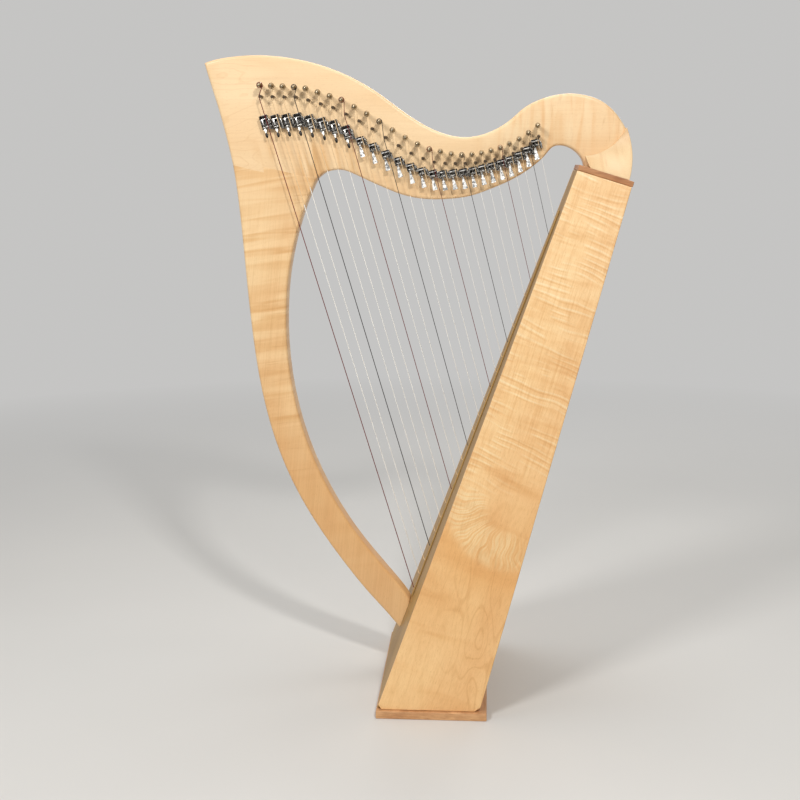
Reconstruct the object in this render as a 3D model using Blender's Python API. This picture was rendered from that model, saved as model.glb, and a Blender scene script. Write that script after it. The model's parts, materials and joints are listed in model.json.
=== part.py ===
"""Lever harp with 26 strings, in metres, with +Z up.

X runs from the pillar (-X) to the soundbox (+X) and Y from the string side (-Y) to
the far side of the neck. The strings lie in the plane y = 0. The origin is the
centre of the base plate's underside.
"""
import math

import bmesh
import bpy
from mathutils import Matrix, Vector

# Counts
STRING_COUNT = 26
LARGE_LEVER_COUNT = 8
BRACE_COUNT = 3
COIL_TURNS = 2
COIL_POINTS_PER_TURN = 8
CURVE_STEPS = 6
BREAK_STEPS = 2
SMOOTH_ANGLE = math.radians(40.0)
QUARTER_TURN = math.radians(90.0)

# Clearance between pieces that touch or run in each other, depth to which glued or
# driven pieces of one node reach into each other, and how far a cutter passes a face
GAP = 0.0003
SEAT = 0.0010
CUT_REACH = 0.020

# Base plate and cap
BASE_LENGTH = 0.153
BASE_WIDTH = 0.296
BASE_THICK = 0.011
CAP_FRONT_HEIGHT = 0.750
CAP_TILT = math.radians(17.3)
CAP_THICK = 0.0075
CAP_OVERHANG = 0.0015

# Soundbox
BOARD_FOOT_X = -0.0755
BOARD_LEAN = math.radians(20.0)
BOARD_THICK = 0.003
BACK_FOOT_X = 0.0664
BACK_LEAN = math.radians(15.5)
BACK_THICK = 0.004
SIDE_THICK = 0.005
BOX_FOOT_WIDTH = 0.286
BOX_TOP_WIDTH = 0.087
TOP_BLOCK_THICK = 0.018
FOOT_BLOCK_THICK = 0.025
FOOT_BLOCK_LOW = 0.055
FOOT_BLOCK_HIGH = 0.115
FOOT_BLOCK_NEAR_Y = 0.010
BRACE_HEIGHT = 0.010
BRACE_WIDTH = 0.014
FIRST_BRACE_AT = 0.150
BRACE_PITCH = 0.185
FIRST_HOLE_AT = 0.085
HOLE_PITCH = 0.185
HOLE_RADII = (0.038, 0.032, 0.026, 0.020)
HOLE_SIDES = 24

# String ribs, outer and inner
RIB_WIDTH = 0.016
OUTER_RIB_THICK = 0.002
INNER_RIB_THICK = 0.003
RIB_END_MARGIN = 0.012
STRING_HOLE_WIDTH = 0.0024

# Strings, their anchors counted down the board from the cap's front corner
LAST_ANCHOR_DROP = 0.0785
ANCHOR_PITCH = 0.0229
BASS_LEAN = math.radians(16.75)
TREBLE_LEAN = math.radians(13.0)
BASS_STRING_DIAMETER = 0.0012
TREBLE_STRING_DIAMETER = 0.0006
STRING_RISE = 0.0010
KNOT_RADIUS = 0.0017
KNOT_LENGTH = 0.0030
KNOT_NECK = 0.0003
KNOT_END_SHARE = 0.6
COIL_GAP = 0.0006

# Neck and pillar. The neck's places along X are counted from the cap's front corner.
NECK_STANDOFF = 0.012
NECK_THICK = 0.030
EDGE_CHAMFER = 0.0025
JOINT_STEP = 0.008
JOINT_STEP_AT = -0.4354
NECK_FOOT_LEFT = 0.0101
NECK_FOOT_RIGHT = 0.0691
PILLAR_FOOT_LOW = 0.063
PILLAR_FOOT_HIGH = 0.1090

# Shoulder block on the string side of the neck
SHOULDER_FOOT_Y = -0.030
SHOULDER_MIDDLE_Y = -0.010
SHOULDER_EDGE_Y = 0.0085
SHOULDER_FOOT_LEFT = 0.0156
SHOULDER_FOOT_RIGHT = 0.0681
SHOULDER_MIDDLE_SHARE = 0.42
SHOULDER_BULGE = 0.006

# Tuning pins
TUNING_PIN_RADIUS = 0.0025
TUNING_PIN_NEAR_REACH = 0.010
TUNING_PIN_FAR_REACH = 0.016
TUNING_SQUARE_LENGTH = 0.012
TUNING_SQUARE_HALF = 0.0017
TUNING_TIP_LENGTH = 0.0008
TUNING_TIP_SHARE = 0.7
PIN_SIDES = 8

# How far the tuning pins stand right of their strings' lines at both ends of the row,
# and the share of the row over which that fades
BASS_FAN = 0.0060
BASS_FAN_SHARE = 0.40
TREBLE_FAN = 0.0039
TREBLE_FAN_SHARE = 0.12

# Bridge pins
BRIDGE_PIN_RADIUS = 0.0020
BRIDGE_HEAD_RADIUS = 0.0022
BRIDGE_GROOVE_RADIUS = 0.0016
BRIDGE_GROOVE_HALF = 0.0012
BRIDGE_HEAD_LENGTH = 0.0018

# Sharping levers, measured from their pivot in the string's own direction
SEMITONE = 1.0 - 2.0 ** (-1.0 / 12.0)
LEVER_AXIS_Y = 0.0050
SMALL_BODY_TOP = 0.0085
LARGE_BODY_TOP = 0.0165
BODY_BOTTOM = 0.0025
BODY_LEFT = -0.0092
BODY_RIGHT = 0.0022
BODY_WALL = 0.0010
BODY_BASE_THICK = 0.0016
BODY_FRONT_Y = 0.0025
BARREL_RADIUS = 0.0022
BARREL_BORE = 0.0011
RIVET_RADIUS = 0.0008
LOBE_REACH = 0.0041
LOBE_WIDTH = 0.0022
LOBE_HALF = 0.0010
LOBE_TIP_HALF = 0.0006
HANDLE_MIDDLE = -0.0060
HANDLE_THICK = 0.0014
HANDLE_LEAN = math.radians(10.0)
HANDLE_ROOT_HALF = 0.0016
HANDLE_ROOT_AT = 0.0018
HANDLE_BEND_AT = 0.0053
SMALL_HANDLE_REACH = 0.0195
SMALL_HANDLE_HALF = 0.0037
LARGE_HANDLE_REACH = 0.0150
LARGE_HANDLE_HALF = 0.0020
LEVER_SWING = math.radians(105.0)
SCREW_RADIUS = 0.0019
SCREW_HEIGHT = 0.0014
SCREW_BACK = 0.0050
SCREW_SIDES = 6

# Outlines in the XZ plane: x and z in metres from the cap's front corner, direction of
# travel in degrees, and the lengths of the two curve handles, in and out. A chain of
# such nodes is a smooth curve.
NECK_TOP = [
    (-0.5154, 0.1400, 23, 0.000, 0.022),
    (-0.4364, 0.1500, -2, 0.018, 0.065),
    (-0.2754, 0.0990, -34, 0.050, 0.032),
    (-0.1604, 0.0380, -5, 0.046, 0.033),
    (-0.0824, 0.0690, 45, 0.021, 0.030),
    (-0.0034, 0.0950, -7, 0.019, 0.026),
    (0.0666, 0.0470, -61, 0.044, 0.012),
    (0.0726, 0.0180, -90, 0.012, 0.012),
]
NECK_UNDERSIDE = [
    (-0.3614, -0.0190, 45, 0.000, 0.014),
    (-0.3294, -0.0060, 1, 0.016, 0.014),
    (-0.2634, -0.0320, -22, 0.043, 0.012),
    (-0.1844, -0.0470, 3, 0.043, 0.037),
    (-0.1034, -0.0270, 22, 0.041, 0.027),
    (-0.0424, 0.0140, 52, 0.016, 0.010),
    (-0.0234, 0.0260, 0, 0.010, 0.016),
]
NECK_TAIL = [
    (-0.5154, 0.1400, -75, 0.000, 0.047),
    (-0.4794, 0.0010, -79, 0.070, 0.000),
]
BRIDGE_LINE = [
    (-0.4424, 0.0932, 6.7, 0.000, 0.125),
    (-0.1929, 0.0020, -5, 0.059, 0.102),
    (-0.0514, 0.0422, 56, 0.0075, 0.000),
]
TUNING_LINE = [
    (-0.4434, 0.1095, 2.5, 0.000, 0.1545),
    (-0.1644, 0.0134, -2.6, 0.094, 0.030),
    (-0.0434, 0.0628, 47, 0.054, 0.000),
]
SHOULDER_CURVE = [
    (0.0111, 0.0115, 8, 0.000, 0.012),
    (0.0406, 0.0205, 30, 0.014, 0.012),
    (0.0666, 0.0500, 62, 0.016, 0.000),
]

# The pillar's edges bow from straight lines between their ends: share of the line, rise
# off its left side, direction from the line's own, and the two curve handles. The outer
# edge runs down to the foot and the inner one up from it.
PILLAR_OUTER = [
    (0.0000, 0.0000, -9.8, 0.000, 0.078),
    (0.3668, -0.0634, -11.8, 0.100, 0.132),
    (0.8210, -0.0478, 17.2, 0.116, 0.080),
    (1.0000, 0.0000, 19.2, 0.056, 0.000),
]
PILLAR_INNER = [
    (0.0000, 0.0000, 10.1, 0.000, 0.020),
    (0.2144, 0.0641, 21.1, 0.062, 0.133),
    (0.7679, 0.0767, -16.9, 0.112, 0.062),
    (1.0000, 0.0000, -39.9, 0.041, 0.000),
]

# Heights and faces that follow from the driving dimensions
NECK_NEAR = NECK_STANDOFF
NECK_FAR = NECK_STANDOFF + NECK_THICK


def clear_scene():
    for item in list(bpy.data.objects):
        bpy.data.objects.remove(item)


def make_material(name, color, roughness, metallic=0.0):
    material = bpy.data.materials.new(name)
    material.use_nodes = True
    shader = material.node_tree.nodes["Principled BSDF"]
    shader.inputs["Base Color"].default_value = (*color, 1.0)
    shader.inputs["Roughness"].default_value = roughness
    shader.inputs["Metallic"].default_value = metallic
    return material


def add_object(name, mesh, material, smooth=False):
    if material:
        mesh.materials.append(material)
    if smooth:
        mesh.shade_smooth()
        mesh.set_sharp_from_angle(angle=SMOOTH_ANGLE)
    item = bpy.data.objects.new(name, mesh)
    bpy.context.scene.collection.objects.link(item)
    return item


def close_mesh(name, bm):
    """Turn a bmesh into a mesh whose faces point out."""
    bmesh.ops.recalc_face_normals(bm, faces=bm.faces)
    mesh = bpy.data.meshes.new(name)
    bm.to_mesh(mesh)
    bm.free()
    return mesh


# Curves, lines and their meeting points in the XZ plane

def heading(angle):
    return Vector((math.cos(angle), math.sin(angle)))


def smooth_chain(nodes):
    """Points of the smooth curve through nodes (x, z, direction, handle in, handle out)."""
    points = [Vector(nodes[0][:2])]
    for start, end in zip(nodes[:-1], nodes[1:]):
        a = Vector(start[:2])
        b = a + heading(math.radians(start[2])) * start[4]
        d = Vector(end[:2])
        c = d - heading(math.radians(end[2])) * end[3]
        for step in range(1, CURVE_STEPS + 1):
            t = step / CURVE_STEPS
            s = 1.0 - t
            points.append(s ** 3 * a + 3 * s * s * t * b + 3 * s * t * t * c + t ** 3 * d)
    return points


def bowed(start, end, nodes):
    """Points of the smooth curve from start to end whose nodes bow from the line between."""
    line = end - start
    side = Vector((-line.y, line.x)).normalized()
    slope = math.degrees(math.atan2(line.y, line.x))
    chain = []
    for share, rise, turn, handle_in, handle_out in nodes:
        place = start + line * share + side * rise
        chain.append((place.x, place.y, slope + turn, handle_in, handle_out))
    return smooth_chain(chain)


def cross(a, b):
    return a.x * b.y - a.y * b.x


def meet(point, direction, other, other_direction):
    """Where two lines in the XZ plane cross."""
    share = cross(other - point, other_direction) / cross(direction, other_direction)
    return point + direction * share


def meet_curve(point, direction, curve):
    """Where a line crosses a curve given by its points."""
    for a, b in zip(curve[:-1], curve[1:]):
        side_a = cross(direction, a - point)
        side_b = cross(direction, b - point)
        if side_a * side_b <= 0.0 and side_a != side_b:
            return a + (b - a) * (side_a / (side_a - side_b))
    raise ValueError("the line misses the curve")


def leaning(lean):
    """Upward direction that leans to +X by an angle from the vertical."""
    return Vector((math.sin(lean), math.cos(lean)))


# Frame of the soundbox: the board's face, the back's face and the cap's two planes

BOARD_UP = leaning(BOARD_LEAN)
BOARD_IN = Vector((BOARD_UP.y, -BOARD_UP.x))
BACK_UP = leaning(BACK_LEAN)
BACK_IN = Vector((-BACK_UP.y, BACK_UP.x))
CAP_ALONG = heading(-CAP_TILT)
CAP_UP = Vector((-CAP_ALONG.y, CAP_ALONG.x))
FLOOR_ALONG = Vector((1.0, 0.0))
PLATE_TOP = BASE_THICK + GAP
BOARD_FOOT = Vector((BOARD_FOOT_X, PLATE_TOP))
BACK_FOOT = Vector((BACK_FOOT_X, PLATE_TOP))
BOARD_LENGTH = (CAP_FRONT_HEIGHT - PLATE_TOP) / BOARD_UP.y
CAP_FRONT = BOARD_FOOT + BOARD_UP * BOARD_LENGTH


def from_cap(nodes):
    """Nodes counted from the cap's front corner, as nodes in the part's own frame."""
    return [(CAP_FRONT.x + x, CAP_FRONT.y + z, *rest) for x, z, *rest in nodes]


def on_board(depth, floor_point, floor_direction):
    """Point at a depth behind the board's face, on a given line."""
    return meet(BOARD_FOOT + BOARD_IN * depth, BOARD_UP, floor_point, floor_direction)


def on_back(depth, floor_point, floor_direction):
    """Point at a depth inside the back's face, on a given line."""
    return meet(BACK_FOOT + BACK_IN * depth, BACK_UP, floor_point, floor_direction)


def half_width(z):
    """Half the soundbox's outer width at a height."""
    share = (z - PLATE_TOP) / (CAP_FRONT_HEIGHT - PLATE_TOP)
    return 0.5 * (BOX_FOOT_WIDTH + (BOX_TOP_WIDTH - BOX_FOOT_WIDTH) * share)


def slab(name, outline, near, far, material, chamfered=()):
    """Closed solid over an XZ outline, between two faces y = near and y = far.

    near and far are numbers or functions of z. The rims of the outline's edges whose
    index is in chamfered get the edge chamfer on both faces.
    """
    def depth(value, z):
        return value(z) if callable(value) else value

    bm = bmesh.new()
    front = [bm.verts.new((p.x, depth(near, p.y), p.y)) for p in outline]
    back = [bm.verts.new((p.x, depth(far, p.y), p.y)) for p in outline]
    count = len(outline)
    bm.faces.new(front)
    bm.faces.new(back[::-1])
    rims = []
    for i in range(count):
        j = (i + 1) % count
        bm.faces.new((front[i], back[i], back[j], front[j]))
        if i in chamfered:
            rims.append(bm.edges.get((front[i], front[j])))
            rims.append(bm.edges.get((back[i], back[j])))
    if rims:
        bmesh.ops.recalc_face_normals(bm, faces=bm.faces)
        bmesh.ops.bevel(bm, geom=rims, offset=EDGE_CHAMFER, segments=1, affect="EDGES")
    return add_object(name, close_mesh(name, bm), material)


def join_solids(target, pieces):
    """Keep several separate solids in one object."""
    bm = bmesh.new()
    for piece in [target] + pieces:
        mesh = piece.data.copy()
        mesh.transform(piece.matrix_basis)
        bm.from_mesh(mesh)
        bpy.data.meshes.remove(mesh)
    bm.to_mesh(target.data)
    bm.free()
    target.matrix_basis = Matrix.Identity(4)
    for piece in pieces:
        bpy.data.objects.remove(piece)
    return target


def prism_rings(name, rings, material, smooth=True):
    """Closed solid through rings of equal vertex counts, with flat ends."""
    bm = bmesh.new()
    loops = [[bm.verts.new(v) for v in ring] for ring in rings]
    count = len(loops[0])
    for low, high in zip(loops[:-1], loops[1:]):
        for i in range(count):
            j = (i + 1) % count
            bm.faces.new((low[i], low[j], high[j], high[i]))
    bm.faces.new(loops[0][::-1])
    bm.faces.new(loops[-1])
    return add_object(name, close_mesh(name, bm), material, smooth)


def ring_across(radius, y, sides, turn=0.0):
    """Ring of vertices round the Y axis."""
    step = math.tau / sides
    return [Vector((radius * math.cos(turn + step * i), y, radius * math.sin(turn + step * i)))
            for i in range(sides)]


def ring_along(radius, x, sides):
    """Ring of vertices round the X axis."""
    step = math.tau / sides
    return [Vector((x, radius * math.cos(step * i), radius * math.sin(step * i)))
            for i in range(sides)]


def change(item, tool, operation="DIFFERENCE"):
    """Cut a tool's shape out of an object, or join it on, and drop the tool."""
    tool.hide_render = True
    tool.display_type = "WIRE"
    into_triangles(tool.data)
    modifier = item.modifiers.new(tool.name, "BOOLEAN")
    modifier.operation = operation
    modifier.solver = "EXACT"
    modifier.object = tool
    bpy.context.view_layer.update()
    graph = bpy.context.evaluated_depsgraph_get()
    mesh = bpy.data.meshes.new_from_object(item.evaluated_get(graph))
    item.modifiers.clear()
    item.data = mesh
    bpy.data.objects.remove(tool)


def into_triangles(mesh):
    """Split a mesh's faces, so that a Boolean meets no face that isn't quite flat."""
    bm = bmesh.new()
    bm.from_mesh(mesh)
    bmesh.ops.triangulate(bm, faces=bm.faces)
    bm.to_mesh(mesh)
    bm.free()


# Strings: anchor on the rib, direction, bridge pin and tuning pin of each

def spread(index, bass, treble):
    return bass + (treble - bass) * index / (STRING_COUNT - 1)


def string_radius(index):
    share = index / (STRING_COUNT - 1)
    ratio = TREBLE_STRING_DIAMETER / BASS_STRING_DIAMETER
    return 0.5 * BASS_STRING_DIAMETER * ratio ** share


def coil_radius(index):
    """Radius of the coil's centre line, which clears the pin between its points too."""
    sag = math.cos(math.pi / COIL_POINTS_PER_TURN)
    return (TUNING_PIN_RADIUS + GAP + string_radius(index)) / sag


def anchor_at(index):
    """Distance of a string's anchor up the board from the board's foot."""
    return BOARD_LENGTH - LAST_ANCHOR_DROP - ANCHOR_PITCH * (STRING_COUNT - 1 - index)


def tuning_pin_offset(index):
    """How far a tuning pin stands right of its string's line."""
    share = index / (STRING_COUNT - 1)
    bass = BASS_FAN * max(0.0, 1.0 - share / BASS_FAN_SHARE)
    treble = TREBLE_FAN * max(0.0, 1.0 - (1.0 - share) / TREBLE_FAN_SHARE)
    return bass + treble


def groove_radius(index):
    """Radius of a string's centre line round its bridge pin."""
    return BRIDGE_GROOVE_RADIUS + GAP + string_radius(index)


def string_layout(index):
    """Everything that places one string, in the XZ plane."""
    lean = spread(index, BASS_LEAN, TREBLE_LEAN)
    up = leaning(-lean)
    right = Vector((up.y, -up.x))
    board_point = BOARD_FOOT + BOARD_UP * anchor_at(index)
    anchor = board_point - BOARD_IN * (OUTER_RIB_THICK + GAP + STRING_RISE)
    contact = meet_curve(anchor, up, smooth_chain(from_cap(BRIDGE_LINE)))
    bridge_pin = contact + right * groove_radius(index)
    tuning_start = anchor + right * tuning_pin_offset(index)
    tuning_pin = meet_curve(tuning_start, up, smooth_chain(from_cap(TUNING_LINE)))
    body_top = lever_body_top(index)
    speaking_length = (contact - anchor).length
    nearest = body_top + BRIDGE_HEAD_RADIUS + GAP
    pivot = contact - up * max(SEMITONE * speaking_length, nearest)
    return {"lean": lean, "board_point": board_point, "anchor": anchor, "contact": contact,
            "bridge_pin": bridge_pin, "tuning_pin": tuning_pin, "pivot": pivot}


def lever_body_top(index):
    return LARGE_BODY_TOP if index < LARGE_LEVER_COUNT else SMALL_BODY_TOP


def number(index):
    return "%02d" % (index + 1)


# Pieces of the soundbox

def build_rib(name, outer, inner, material):
    """Strip along the middle of the board, between two depths behind its face."""
    low = anchor_at(0) - RIB_END_MARGIN
    high = anchor_at(STRING_COUNT - 1) + RIB_END_MARGIN
    outline = [BOARD_FOOT + BOARD_UP * along + BOARD_IN * depth
               for along, depth in ((low, outer), (low, inner), (high, inner), (high, outer))]
    return slab(name, outline, -0.5 * RIB_WIDTH, 0.5 * RIB_WIDTH, material)


def build_soundboard(material):
    """Soundboard with the inner rib glued behind it, drilled for the strings."""
    outline = [on_board(0.0, BOARD_FOOT, FLOOR_ALONG),
               on_board(BOARD_THICK, BOARD_FOOT, FLOOR_ALONG),
               on_board(BOARD_THICK, CAP_FRONT, CAP_ALONG), on_board(0.0, CAP_FRONT, CAP_ALONG)]
    board = slab("soundboard", outline, lambda z: -half_width(z), half_width, material)
    rib_back = BOARD_THICK + INNER_RIB_THICK
    change(board, build_rib("inner_rib", 0.5 * BOARD_THICK, rib_back, None), "UNION")
    change(board, string_hole_cutter())
    return board


def string_hole_cutter():
    """Square drills through the board and its inner rib, one for each string."""
    half = 0.5 * STRING_HOLE_WIDTH
    square = ((-half, -half), (half, -half), (half, half), (-half, half))
    drills = []
    for index in range(STRING_COUNT):
        middle = string_layout(index)["board_point"]
        rings = []
        for depth in (-SEAT, BOARD_THICK + INNER_RIB_THICK + SEAT):
            flat = [(middle + BOARD_UP * along + BOARD_IN * depth, y) for along, y in square]
            rings.append([Vector((p.x, y, p.y)) for p, y in flat])
        drills.append(prism_rings("string_drill", rings, None, False))
    return join_solids(drills[0], drills[1:])


def build_soundbox_case(material):
    """Sides, back, blocks and braces glued to one box, open to the board and at its ends."""
    under_cap = CAP_FRONT - CAP_UP * (CAP_THICK + GAP)
    near = BOARD_THICK + GAP
    outline = [on_board(near, BOARD_FOOT, FLOOR_ALONG), on_back(0.0, BOARD_FOOT, FLOOR_ALONG),
               on_back(0.0, under_cap, CAP_ALONG), on_board(near, under_cap, CAP_ALONG)]
    case = slab("soundbox_case", outline, lambda z: -half_width(z), half_width, material)
    low = BOARD_FOOT - Vector((0.0, CUT_REACH))
    high = under_cap + Vector((0.0, CUT_REACH))
    hollow = [on_board(-CUT_REACH, low, FLOOR_ALONG), on_back(BACK_THICK, low, FLOOR_ALONG),
              on_back(BACK_THICK, high, CAP_ALONG), on_board(-CUT_REACH, high, CAP_ALONG)]
    change(case, slab("hollow", hollow, lambda z: SIDE_THICK - half_width(z),
                      lambda z: half_width(z) - SIDE_THICK, None))
    bars = [build_top_block(under_cap), build_foot_block()] + build_braces()
    change(case, join_solids(bars[0], bars[1:]), "UNION")
    holes = build_access_holes()
    change(case, join_solids(holes[0], holes[1:]))
    return case


def glued_bar(name, outline):
    """Bar from side to side of the soundbox, glued into both sides."""
    inside = SIDE_THICK - SEAT
    return slab(name, outline, lambda z: inside - half_width(z),
                lambda z: half_width(z) - inside, None)


def build_top_block(under_cap):
    high = under_cap - CAP_UP * GAP
    low = high - CAP_UP * TOP_BLOCK_THICK
    near = BOARD_THICK + 2.0 * GAP
    back = BACK_THICK - SEAT
    outline = [on_board(near, low, CAP_ALONG), on_back(back, low, CAP_ALONG),
               on_back(back, high, CAP_ALONG), on_board(near, high, CAP_ALONG)]
    return glued_bar("top_block", outline)


def build_foot_block():
    """Block behind the board that carries the pillar's foot, clear of the strings' knots."""
    near = BOARD_THICK + 2.0 * GAP
    far = near + FOOT_BLOCK_THICK
    corners = ((FOOT_BLOCK_LOW, near), (FOOT_BLOCK_LOW, far),
               (FOOT_BLOCK_HIGH, far), (FOOT_BLOCK_HIGH, near))
    outline = [BOARD_FOOT + BOARD_UP * along + BOARD_IN * depth for along, depth in corners]
    return slab("foot_block", outline, FOOT_BLOCK_NEAR_Y,
                lambda z: half_width(z) - SIDE_THICK + SEAT, None)


def build_braces():
    """Bars across the inside of the back, between its access holes."""
    braces = []
    for index in range(BRACE_COUNT):
        low = FIRST_BRACE_AT + BRACE_PITCH * index
        high = low + BRACE_WIDTH
        near = BACK_THICK - SEAT
        far = BACK_THICK + BRACE_HEIGHT
        corners = ((low, near), (low, far), (high, far), (high, near))
        braces.append(glued_bar("brace", [BACK_FOOT + BACK_UP * along + BACK_IN * depth
                                          for along, depth in corners]))
    return braces


def build_access_holes():
    """Cutters for the round holes in the back that the strings are fitted through."""
    turn = Matrix.Rotation(BACK_LEAN, 4, "Y") @ Matrix.Rotation(math.radians(90.0), 4, "Z")
    cutters = []
    for index, radius in enumerate(HOLE_RADII):
        middle = BACK_FOOT + BACK_UP * (FIRST_HOLE_AT + HOLE_PITCH * index)
        rings = [ring_across(radius, y, HOLE_SIDES) for y in (-BACK_THICK, 2.0 * BACK_THICK)]
        cutter = prism_rings("access_hole", rings, None, False)
        cutter.matrix_basis = Matrix.Translation((middle.x, 0.0, middle.y)) @ turn
        cutters.append(cutter)
    return cutters


def build_base_plate(material):
    half = 0.5 * BASE_LENGTH
    outline = [Vector((-half, 0.0)), Vector((half, 0.0)),
               Vector((half, BASE_THICK)), Vector((-half, BASE_THICK))]
    return slab("base_plate", outline, -0.5 * BASE_WIDTH, 0.5 * BASE_WIDTH, material)


def build_cap(material):
    """Sloping lid of the soundbox, behind the soundboard."""
    low = CAP_FRONT - CAP_UP * CAP_THICK
    near = BOARD_THICK + GAP
    outline = [on_board(near, low, CAP_ALONG), on_back(-CAP_OVERHANG, low, CAP_ALONG),
               on_back(-CAP_OVERHANG, CAP_FRONT, CAP_ALONG), on_board(near, CAP_FRONT, CAP_ALONG)]
    return slab("cap", outline, -0.5 * BOX_TOP_WIDTH, 0.5 * BOX_TOP_WIDTH, material)


# Neck, pillar and shoulder block

def on_cap(x):
    """Point just above the cap, at an x counted from the cap's front corner."""
    return meet(Vector((CAP_FRONT.x + x, 0.0)), Vector((0.0, 1.0)),
                CAP_FRONT + CAP_UP * GAP, CAP_ALONG)


def joint_line():
    """Stepped joint between pillar and neck, from the outer to the inner edge."""
    outer = CAP_FRONT + Vector(NECK_TAIL[-1][:2])
    inner = CAP_FRONT + Vector(NECK_UNDERSIDE[0][:2])
    along = inner - outer - Vector((0.0, JOINT_STEP))
    low = outer + along * ((CAP_FRONT.x + JOINT_STEP_AT - outer.x) / along.x)
    return [outer, low, low + Vector((0.0, JOINT_STEP)), inner]


def build_neck(material):
    foot_right = on_cap(NECK_FOOT_RIGHT)
    foot_left = on_cap(NECK_FOOT_LEFT)
    top = smooth_chain(from_cap(NECK_TOP) + [(*foot_right, -97, 0.012, 0.0)])
    under = smooth_chain(from_cap(NECK_UNDERSIDE) + [(*foot_left, -88, 0.014, 0.0)])
    tail = smooth_chain(from_cap(NECK_TAIL))
    joint = joint_line()
    lift = Vector((0.0, GAP))
    outline = top + under[::-1] + [p + lift for p in joint[2:0:-1]] + tail[:0:-1]
    joint_inner = len(top) + len(under) - 1
    outline[joint_inner] = joint[3] + lift
    outline[joint_inner + 3] = joint[0] + lift
    plain = {len(top) - 1, joint_inner, joint_inner + 1, joint_inner + 2}
    rims = set(range(len(outline))) - plain
    neck = slab("neck", outline, NECK_NEAR, NECK_FAR, material, rims)
    change(neck, pin_hole_cutter())
    change(neck, build_bridge_pins(), "UNION")
    change(neck, build_lever_bodies(), "UNION")
    return neck


def pin_hole_cutter():
    """Holes for the tuning pins, right through the neck."""
    holes = []
    for index in range(STRING_COUNT):
        place = string_layout(index)["tuning_pin"]
        rings = [ring_across(TUNING_PIN_RADIUS + GAP, y, PIN_SIDES)
                 for y in (NECK_NEAR - SEAT, NECK_FAR + SEAT)]
        hole = prism_rings("pin_hole", rings, None, False)
        hole.matrix_basis = Matrix.Translation((place.x, 0.0, place.y))
        holes.append(hole)
    return join_solids(holes[0], holes[1:])


def build_pillar(material):
    """Curved pillar from the neck joint to its foot on the soundboard."""
    face = -BOARD_IN * GAP
    foot_low = BOARD_FOOT + BOARD_UP * PILLAR_FOOT_LOW + face
    foot_high = BOARD_FOOT + BOARD_UP * PILLAR_FOOT_HIGH + face
    joint = joint_line()
    outer = bowed(joint[0], foot_low, PILLAR_OUTER)
    inner = bowed(foot_high, joint[3], PILLAR_INNER)
    outline = outer + inner + joint[2:0:-1]
    foot = len(outer) - 1
    joint_start = len(outer) + len(inner) - 1
    rims = set(range(len(outline))) - {foot, joint_start, joint_start + 1, joint_start + 2}
    return slab("pillar", outline, NECK_NEAR, NECK_FAR, material, rims)


def build_shoulder_block(material):
    """Block that flares from the neck's face out over the cap."""
    edge = smooth_chain(from_cap(SHOULDER_CURVE))
    count = len(edge)
    rows = []
    for index, tip in enumerate(edge):
        share = index / (count - 1)
        foot = on_cap(SHOULDER_FOOT_LEFT
                      + (SHOULDER_FOOT_RIGHT - SHOULDER_FOOT_LEFT) * share)
        middle = foot.lerp(tip, SHOULDER_MIDDLE_SHARE)
        middle.x += SHOULDER_BULGE * share * share
        rows.append((foot, middle, tip))
    back_y = NECK_NEAR - GAP
    bm = bmesh.new()
    columns = []
    for foot, middle, tip in rows:
        columns.append([bm.verts.new((foot.x, SHOULDER_FOOT_Y, foot.y)),
                        bm.verts.new((middle.x, SHOULDER_MIDDLE_Y, middle.y)),
                        bm.verts.new((tip.x, SHOULDER_EDGE_Y, tip.y)),
                        bm.verts.new((tip.x, back_y, tip.y)),
                        bm.verts.new((middle.x, back_y, middle.y)),
                        bm.verts.new((foot.x, back_y, foot.y))])
    for left, right in zip(columns[:-1], columns[1:]):
        for i in range(6):
            j = (i + 1) % 6
            bm.faces.new((left[i], right[i], right[j], left[j]))
    bm.faces.new(columns[0][::-1])
    bm.faces.new(columns[-1])
    bmesh.ops.triangulate(bm, faces=bm.faces)
    return add_object("shoulder_block", close_mesh("shoulder_block", bm), material)


# Fittings on the neck

def build_tuning_pins(material):
    """Pins that turn in the neck, each its own object on its own axis."""
    tip_y = -TUNING_PIN_NEAR_REACH
    end_y = NECK_FAR + TUNING_PIN_FAR_REACH
    square_y = end_y - TUNING_SQUARE_LENGTH
    square = []
    for i in range(PIN_SIDES):
        angle = math.tau * i / PIN_SIDES
        reach = TUNING_SQUARE_HALF / max(abs(math.cos(angle)), abs(math.sin(angle)))
        square.append((reach * math.cos(angle), reach * math.sin(angle)))
    rings = [ring_across(TUNING_TIP_SHARE * TUNING_PIN_RADIUS, tip_y, PIN_SIDES),
             ring_across(TUNING_PIN_RADIUS, tip_y + TUNING_TIP_LENGTH, PIN_SIDES),
             ring_across(TUNING_PIN_RADIUS, square_y - TUNING_TIP_LENGTH, PIN_SIDES),
             [Vector((x, square_y, z)) for x, z in square],
             [Vector((x, end_y, z)) for x, z in square]]
    first = prism_rings("tuning_pin_" + number(0), rings, material)
    mesh = first.data
    for index in range(STRING_COUNT):
        item = first if index == 0 else bpy.data.objects.new("tuning_pin_" + number(index), mesh)
        if index:
            bpy.context.scene.collection.objects.link(item)
        place = string_layout(index)["tuning_pin"]
        item.location = (place.x, 0.0, place.y)


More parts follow.
